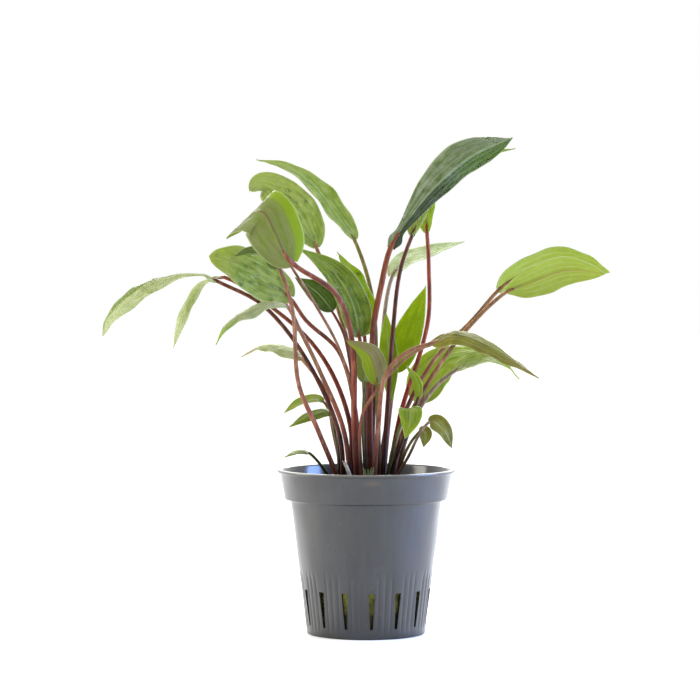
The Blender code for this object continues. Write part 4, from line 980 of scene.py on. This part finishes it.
def potMaterial():
    # Moulded polypropylene, mid grey: faint upright drag lines, a paler lip top that is a painted sheen, a
    # dark damp streak and a few dirt specks on the front; inside wet and painted nearly black as painted
    # shade.
    s = potLook
    material, tree = newMaterial("polypropyleneGrey")
    given = addNode(tree, "ShaderNodeTexCoord")
    warp = addNode(tree, "ShaderNodeTexNoise", None, {
        "Vector": given.outputs["Object"], "Scale": 500.0, "Detail": 3.0})
    shift = addNode(tree, "ShaderNodeVectorMath", {"operation": "MULTIPLY_ADD"}, {
        0: warp.outputs["Color"], 1: (1.4 * mm,) * 3, 2: given.outputs["Object"]})
    place = addNode(tree, "ShaderNodeVectorMath", {"operation": "SUBTRACT"}, {
        0: shift.outputs[0], 1: (0.7 * mm,) * 3})
    drag = addNode(tree, "ShaderNodeMapping", None, {
        "Vector": given.outputs["Object"], "Scale": (1, 1, 0.05)})
    lines = addNode(tree, "ShaderNodeTexNoise", None, {
        "Vector": drag.outputs[0], "Scale": 700.0, "Detail": 4.0, "Roughness": 0.65})
    cloud = addNode(tree, "ShaderNodeTexNoise", None, {
        "Vector": given.outputs["Object"], "Scale": 90.0, "Detail": 4.0})
    face = colourMix(tree, ramp(tree, lines.outputs[0], [(0.35, 0), (0.7, 1)]),
                     toLinear(s["bodyDark"]), toLinear(s["body"]))
    face = colourMix(tree, ramp(tree, cloud.outputs[0], [(0.5, 0), (0.75, 0.35)]), face, toLinear(s["scuff"]))
    speck = addNode(tree, "ShaderNodeTexVoronoi", None, {
        "Vector": given.outputs["Object"], "Scale": 330.0, "Randomness": 1.0})
    sparse = addNode(tree, "ShaderNodeTexNoise", None, {"Vector": given.outputs["Object"], "Scale": 60.0})
    dots = maths(tree, "MULTIPLY", ramp(tree, speck.outputs[0], [(0.06, 1), (0.1, 0)]),
                 ramp(tree, sparse.outputs[0], [(0.52, 0), (0.58, 0.8)]))
    face = colourMix(tree, dots, face, toLinear(s["mud"]))
    streak = spotMask(tree, place.outputs[0], (-4, -19.8, 22), (1.9, 3, 5.0), 0.35)
    spot = spotMask(tree, place.outputs[0], (3.5, -19.6, 19), (0.8, 3, 1.0), 0.4)
    mark = spotMask(tree, place.outputs[0], (1.5, -24.4, 45.4), (3.2, 3, 1.2), 0.6)
    damp = maths(tree, "MAXIMUM", streak, maths(tree, "MULTIPLY", spot, 0.8))
    face = colourMix(tree, maths(tree, "MULTIPLY", damp, 0.85), face, toLinear(s["stain"]))
    face = colourMix(tree, maths(tree, "MULTIPLY", mark, 0.55), face, toLinear(s["mud"]))
    parts = addNode(tree, "ShaderNodeSeparateXYZ", None, {0: given.outputs["Object"]})
    ground = addNode(tree, "ShaderNodeCombineXYZ", None, {0: parts.outputs[0], 1: parts.outputs[1]})
    radius = addNode(tree, "ShaderNodeVectorMath", {"operation": "LENGTH"}, {0: ground.outputs[0]})
    # painted sheen: the lip's upward top face is painted paler than the body
    lipTopSheen = maths(tree, "MULTIPLY", maths(tree, "GREATER_THAN", parts.outputs[2], 47.6 * mm),
                  maths(tree, "GREATER_THAN", radius.outputs["Value"], 24.6 * mm))
    face = colourMix(tree, maths(tree, "MULTIPLY", lipTopSheen, 0.7), face, toLinear(s["lip"]))
    # the inner wall lies within a line that follows the outer one
    low = addNode(tree, "ShaderNodeMapRange", None, {
        "Value": parts.outputs[2], "From Min": 0.0, "From Max": 40.2 * mm,
        "To Min": 16.7 * mm, "To Max": 21.8 * mm})
    high = addNode(tree, "ShaderNodeMapRange", None, {
        "Value": parts.outputs[2], "From Min": 40.2 * mm, "From Max": 48 * mm,
        "To Min": 23.4 * mm, "To Max": 24.6 * mm})
    isBand = maths(tree, "GREATER_THAN", parts.outputs[2], 40.1 * mm)
    limit = addNode(tree, "ShaderNodeMix", {"data_type": "FLOAT"}, {
        0: isBand, 2: low.outputs[0], 3: high.outputs[0]})
    insideShadeAndWet = maths(tree, "MULTIPLY", maths(tree, "LESS_THAN", radius.outputs["Value"], limit.outputs[0]),
                     maths(tree, "GREATER_THAN", parts.outputs[2], 0.5 * mm))
    # painted shade: the inner wall is painted nearly black; the same mask also makes it smoother, as wet
    face = colourMix(tree, maths(tree, "MULTIPLY", insideShadeAndWet, 0.9), face, toLinear(s["inside"]))
    shine = addNode(tree, "ShaderNodeMapRange", None, {
        "Value": maths(tree, "MAXIMUM", insideShadeAndWet, damp), "To Min": s["roughness"], "To Max": 0.16})
    bump = addNode(tree, "ShaderNodeBump", None, {
        "Strength": 0.35, "Distance": 0.05 * mm, "Height": lines.outputs[0]})
    surface = addNode(tree, "ShaderNodeBsdfPrincipled", None, {
        "Base Color": face, "Roughness": shine.outputs[0], "Normal": bump.outputs[0], "IOR": 1.49,
        "Specular IOR Level": 0.7})
    addNode(tree, "ShaderNodeOutputMaterial", None, {"Surface": surface.outputs[0]})
    return material


mediumLook = {
    "steps": 300, "top": 38.8, "low": 1.35, "gap": 0.2, "light": "#9a9a48", "middle": "#75702e",
    "dark": "#2c2412", "fibre": "#b9b46a",
}
crownShape = {
    "radius": 10.8, "top": 41.6, "low": 39.1, "rootlets": 46, "rootletRadius": 0.24, "rootletReach": 20.2,
    "root": "#5a3a22", "rootDark": "#24140a", "rootlet": "#8a6a48",
}
fibresOnMedium = {"Spacing": 1.1 * mm, "Density": 700000.0, "Smallest": 2.2 * mm, "Largest": 5.0 * mm,
                  "Lean": 0.22}


def mediumMaterial(name, light, middle, dark, grain):
    # Fibrous plug: rock-wool threads matted together, yellow-green with algae above, with dark patches, and
    # painted dark low down as painted shade inside the pot.
    material, tree = newMaterial(name)
    given = addNode(tree, "ShaderNodeTexCoord")
    fine = addNode(tree, "ShaderNodeTexNoise", None, {
        "Vector": given.outputs["Object"], "Scale": 1000 / grain, "Detail": 5.0, "Roughness": 0.7,
        "Distortion": 1.5})
    broad = addNode(tree, "ShaderNodeTexNoise", None, {
        "Vector": given.outputs["Object"], "Scale": 160.0, "Detail": 3.0})
    face = colourMix(tree, ramp(tree, fine.outputs[0], [(0.38, 0), (0.62, 1)]),
                     toLinear(middle), toLinear(light))
    parts = addNode(tree, "ShaderNodeSeparateXYZ", None, {0: given.outputs["Object"]})
    # painted shade: below about 9 mm the plug is painted dark
    deep = addNode(tree, "ShaderNodeMapRange", None, {
        "Value": parts.outputs[2], "From Min": 6.5 * mm, "From Max": 9.0 * mm, "To Min": 0.85, "To Max": 0.0})
    patches = ramp(tree, broad.outputs[0], [(0.48, 0), (0.66, 0.9)])
    face = colourMix(tree, maths(tree, "MAXIMUM", deep.outputs[0], patches), face, toLinear(dark))
    bump = addNode(tree, "ShaderNodeBump", None, {
        "Strength": 0.8, "Distance": 0.3 * mm, "Height": fine.outputs[0]})
    surface = addNode(tree, "ShaderNodeBsdfPrincipled", None, {
        "Base Color": face, "Roughness": 0.85, "Normal": bump.outputs[0], "IOR": 1.45})
    addNode(tree, "ShaderNodeOutputMaterial", None, {"Surface": surface.outputs[0]})
    return material


def makeMedium():
    s = mediumLook
    reach = potShape["wall"] + s["gap"]
    profile = roundedLine([(0, s["top"]), (bodyRadius(s["top"]) - reach, s["top"]),
                           (bodyRadius(s["low"]) - reach, s["low"]), (0, s["low"])], 1.0, 0.8)
    random = np.random.default_rng(8)

    def change(radius, z, turn):
        hollow = softNoise(radius * np.cos(turn), radius * np.sin(turn) + z, 2.6, random)
        lumps = softNoise(radius * np.sin(turn) - z * 0.6, z + radius * np.cos(turn), 1.1, random)
        deep = np.clip(0.3 + 0.3 * hollow + 0.14 * lumps, 0, 1.2)
        onTop = np.clip((z - s["top"] + 1.2) / 1.2, 0, 1)
        return radius - deep * (1 - onTop) * (radius > 5), z - deep * onTop * 0.9

    mesh = turnedMesh("wool_plug", profile, s["steps"], change)
    mesh.shade_smooth()
    paint = mediumMaterial("rockWool", s["light"], s["middle"], s["dark"], 0.9)
    plug = newPiece("wool_plug", mesh, paint)
    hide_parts("growing_medium")
    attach(plug, "root")
    source = mesh.copy()
    height = np.zeros(len(source.vertices) * 3)
    source.vertices.foreach_get("co", height)
    height = height[2::3] / mm
    chance = np.where((height > s["top"] - 1.5) | ((height > 2) & (height < 14.5)), 1.0, 0.0)
    source.attributes.new("scatter", "FLOAT", "POINT").data.foreach_set("value", chance)
    threads = mediumMaterial("woolThreads", s["fibre"], s["light"], s["dark"], 3.0)
    fibres = runTree("wool_threads", source, fibreScatter, {
        **fibresOnMedium, "Seed": 4, "Material": threads})
    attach(fibres, "root")


def barkMaterial(name, light, dark):
    # Rootstock and rootlets: corky brown skin, darker in its hollows and slightly damp.
    material, tree = newMaterial(name)
    given = addNode(tree, "ShaderNodeTexCoord")
    grain = addNode(tree, "ShaderNodeTexNoise", None, {
        "Vector": given.outputs["Object"], "Scale": 700.0, "Detail": 5.0, "Roughness": 0.7})
    face = colourMix(tree, ramp(tree, grain.outputs[0], [(0.35, 0), (0.65, 1)]),
                     toLinear(dark), toLinear(light))
    bump = addNode(tree, "ShaderNodeBump", None, {
        "Strength": 0.6, "Distance": 0.2 * mm, "Height": grain.outputs[0]})
    surface = addNode(tree, "ShaderNodeBsdfPrincipled", None, {
        "Base Color": face, "Roughness": 0.55, "Normal": bump.outputs[0], "IOR": 1.45})
    addNode(tree, "ShaderNodeOutputMaterial", None, {"Surface": surface.outputs[0]})
    return material


def makeCrown():
    s = crownShape
    profile = roundedLine([(0, s["top"]), (s["radius"] - 0.8, s["top"]), (s["radius"], s["low"] + 0.8),
                           (s["radius"] - 0.6, s["low"]), (0, s["low"])], 0.8, 0.5)
    random = np.random.default_rng(12)

    def change(radius, z, turn):
        lumps = softNoise(radius * np.cos(turn), radius * np.sin(turn), 3.4, random)
        warts = softNoise(radius * np.cos(turn) + z, radius * np.sin(turn) - z, 1.3, random)
        share = np.clip((z - s["low"]) / 1.2, 0, 1)
        return radius * (1 + 0.05 * lumps * share), z + (0.4 * lumps + 0.16 * warts - 0.2) * share

    mesh = turnedMesh("crown", profile, 220, change)
    mesh.shade_smooth()
    crown = newPiece("crown", mesh, barkMaterial("corkyRootstock", s["root"], s["rootDark"]))
    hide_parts("rootstock")
    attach(crown, "root")
    lines = []
    for i in range(s["rootlets"]):
        turn = i * 2 * math.pi / s["rootlets"] + random.uniform(-0.06, 0.06)
        share = np.linspace(0, 1, 24)
        out = 8.5 + share * (random.uniform(0.45, 1) * s["rootletReach"] - 8.5)
        swing = turn + 0.14 * softNoise(share * 9, 0 * share, 5, random, 4) * share
        level = 41.3 - 1.9 * np.clip(share * 3.4, 0, 1) ** 0.7 + 0.35 * np.sin(share * 9 + i)
        level = np.where(share > 0.2, np.minimum(level, 39.9 + 0.1 * np.sin(i)), level)
        path = np.stack([out * np.cos(swing), out * np.sin(swing), level], axis=1)
        lines.append((path, s["rootletRadius"] * random.uniform(0.7, 1.4) * (1 - 0.75 * share)))
    rootlets = runTree("rootlets", lineMesh("rootletLines", lines), tubes, {
        "Sides": 7, "Ripple": 0.5, "Ripple Scale": 900.0,
        "Material": barkMaterial("paleRootlets", s["rootlet"], s["root"])})
    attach(rootlets, "root")


stubShape = {"path": [(-3.2, -9.2, 41.9), (-3.6, -9.9, 44), (-4.4, -10.6, 46), (-5.3, -11.0, 48.4),
                      (-6.2, -11.2, 50.5)], "radii": [0.75, 0.6, 0.52, 0.55, 0.5]}
stubSplinters = [((-6.1, -11.1, 50.0), (-6.9, -11.5, 51.2), 0.24),
                 ((-6.2, -11.4, 50.2), (-6.2, -11.8, 51.5), 0.2),
                 ((-6.0, -11.0, 50.1), (-5.6, -10.8, 51.3), 0.22)]
sproutShape = {"blades": 5, "middle": (0.5, -11.6), "height": 7.6, "width": 1.5}


def makeStub():
    # Old leaf stalk cut off and dried to a grey-white ragged end.
    lines = [(np.array(stubShape["path"], float), np.array(stubShape["radii"]))]
    for start, end, radius in stubSplinters:
        middle = (np.array(start) + end) / 2 + (0.1, 0, -0.1)
        lines.append((np.array([start, middle, end], float), np.array([radius, radius * 0.8, 0.06])))
    stub = runTree("dried_stub", lineMesh("stubLines", lines), tubes, {
        "Sides": 12, "Ripple": 0.5, "Ripple Scale": 700.0,
        "Material": barkMaterial("driedStalk", "#c9c4b6", "#8a8272")})
    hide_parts("old_stub")
    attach(stub, "root")


def makeSprout():
    # Tuft of new dark-green leaf points at the front of the crown.
    s = sproutShape
    random = np.random.default_rng(31)
    look = {**plainLook, "upper": "#26380e", "deep": "#182808", "under": "#30441a", "glow": "#3c5a14",
            "seed": 61}
    paint = leafMaterial("newShoot", look, s["height"], s["width"])
    for i in range(s["blades"]):
        turn = math.radians(-150 + 120 * i / (s["blades"] - 1))
        lean = np.array([math.cos(turn), 0.25 * math.sin(turn)])
        foot = np.array(s["middle"]) + lean * 0.5
        high = s["height"] * random.uniform(0.7, 1)
        middle = foot + lean * 0.5
        end = foot + lean * random.uniform(1.0, 1.8)
        leaf = {"foot": tuple(foot), "stalk": [(*foot, 42.3)], "base": (*foot, 42.6),
                "spine": [(*middle, 42 + high * 0.55)], "tip": (*end, 42 + high),
                "up": [(-lean[0] * 0.4, 1, 0.1)], "width": s["width"], "fold": 28, "ruffle": 0.05}
        upper, under, along, across, length = bladeSurface(leaf, 24, 15, random)
        blade = newPiece(f"shoot_{i + 1}", bladeMesh(f"shoot_{i + 1}", upper, under, along, across), paint)
        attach(blade, "root")


makePot()
print("pot made")
makeMedium()
makeCrown()
makeStub()
makeSprout()
print("medium, crown, stub and shoots made")
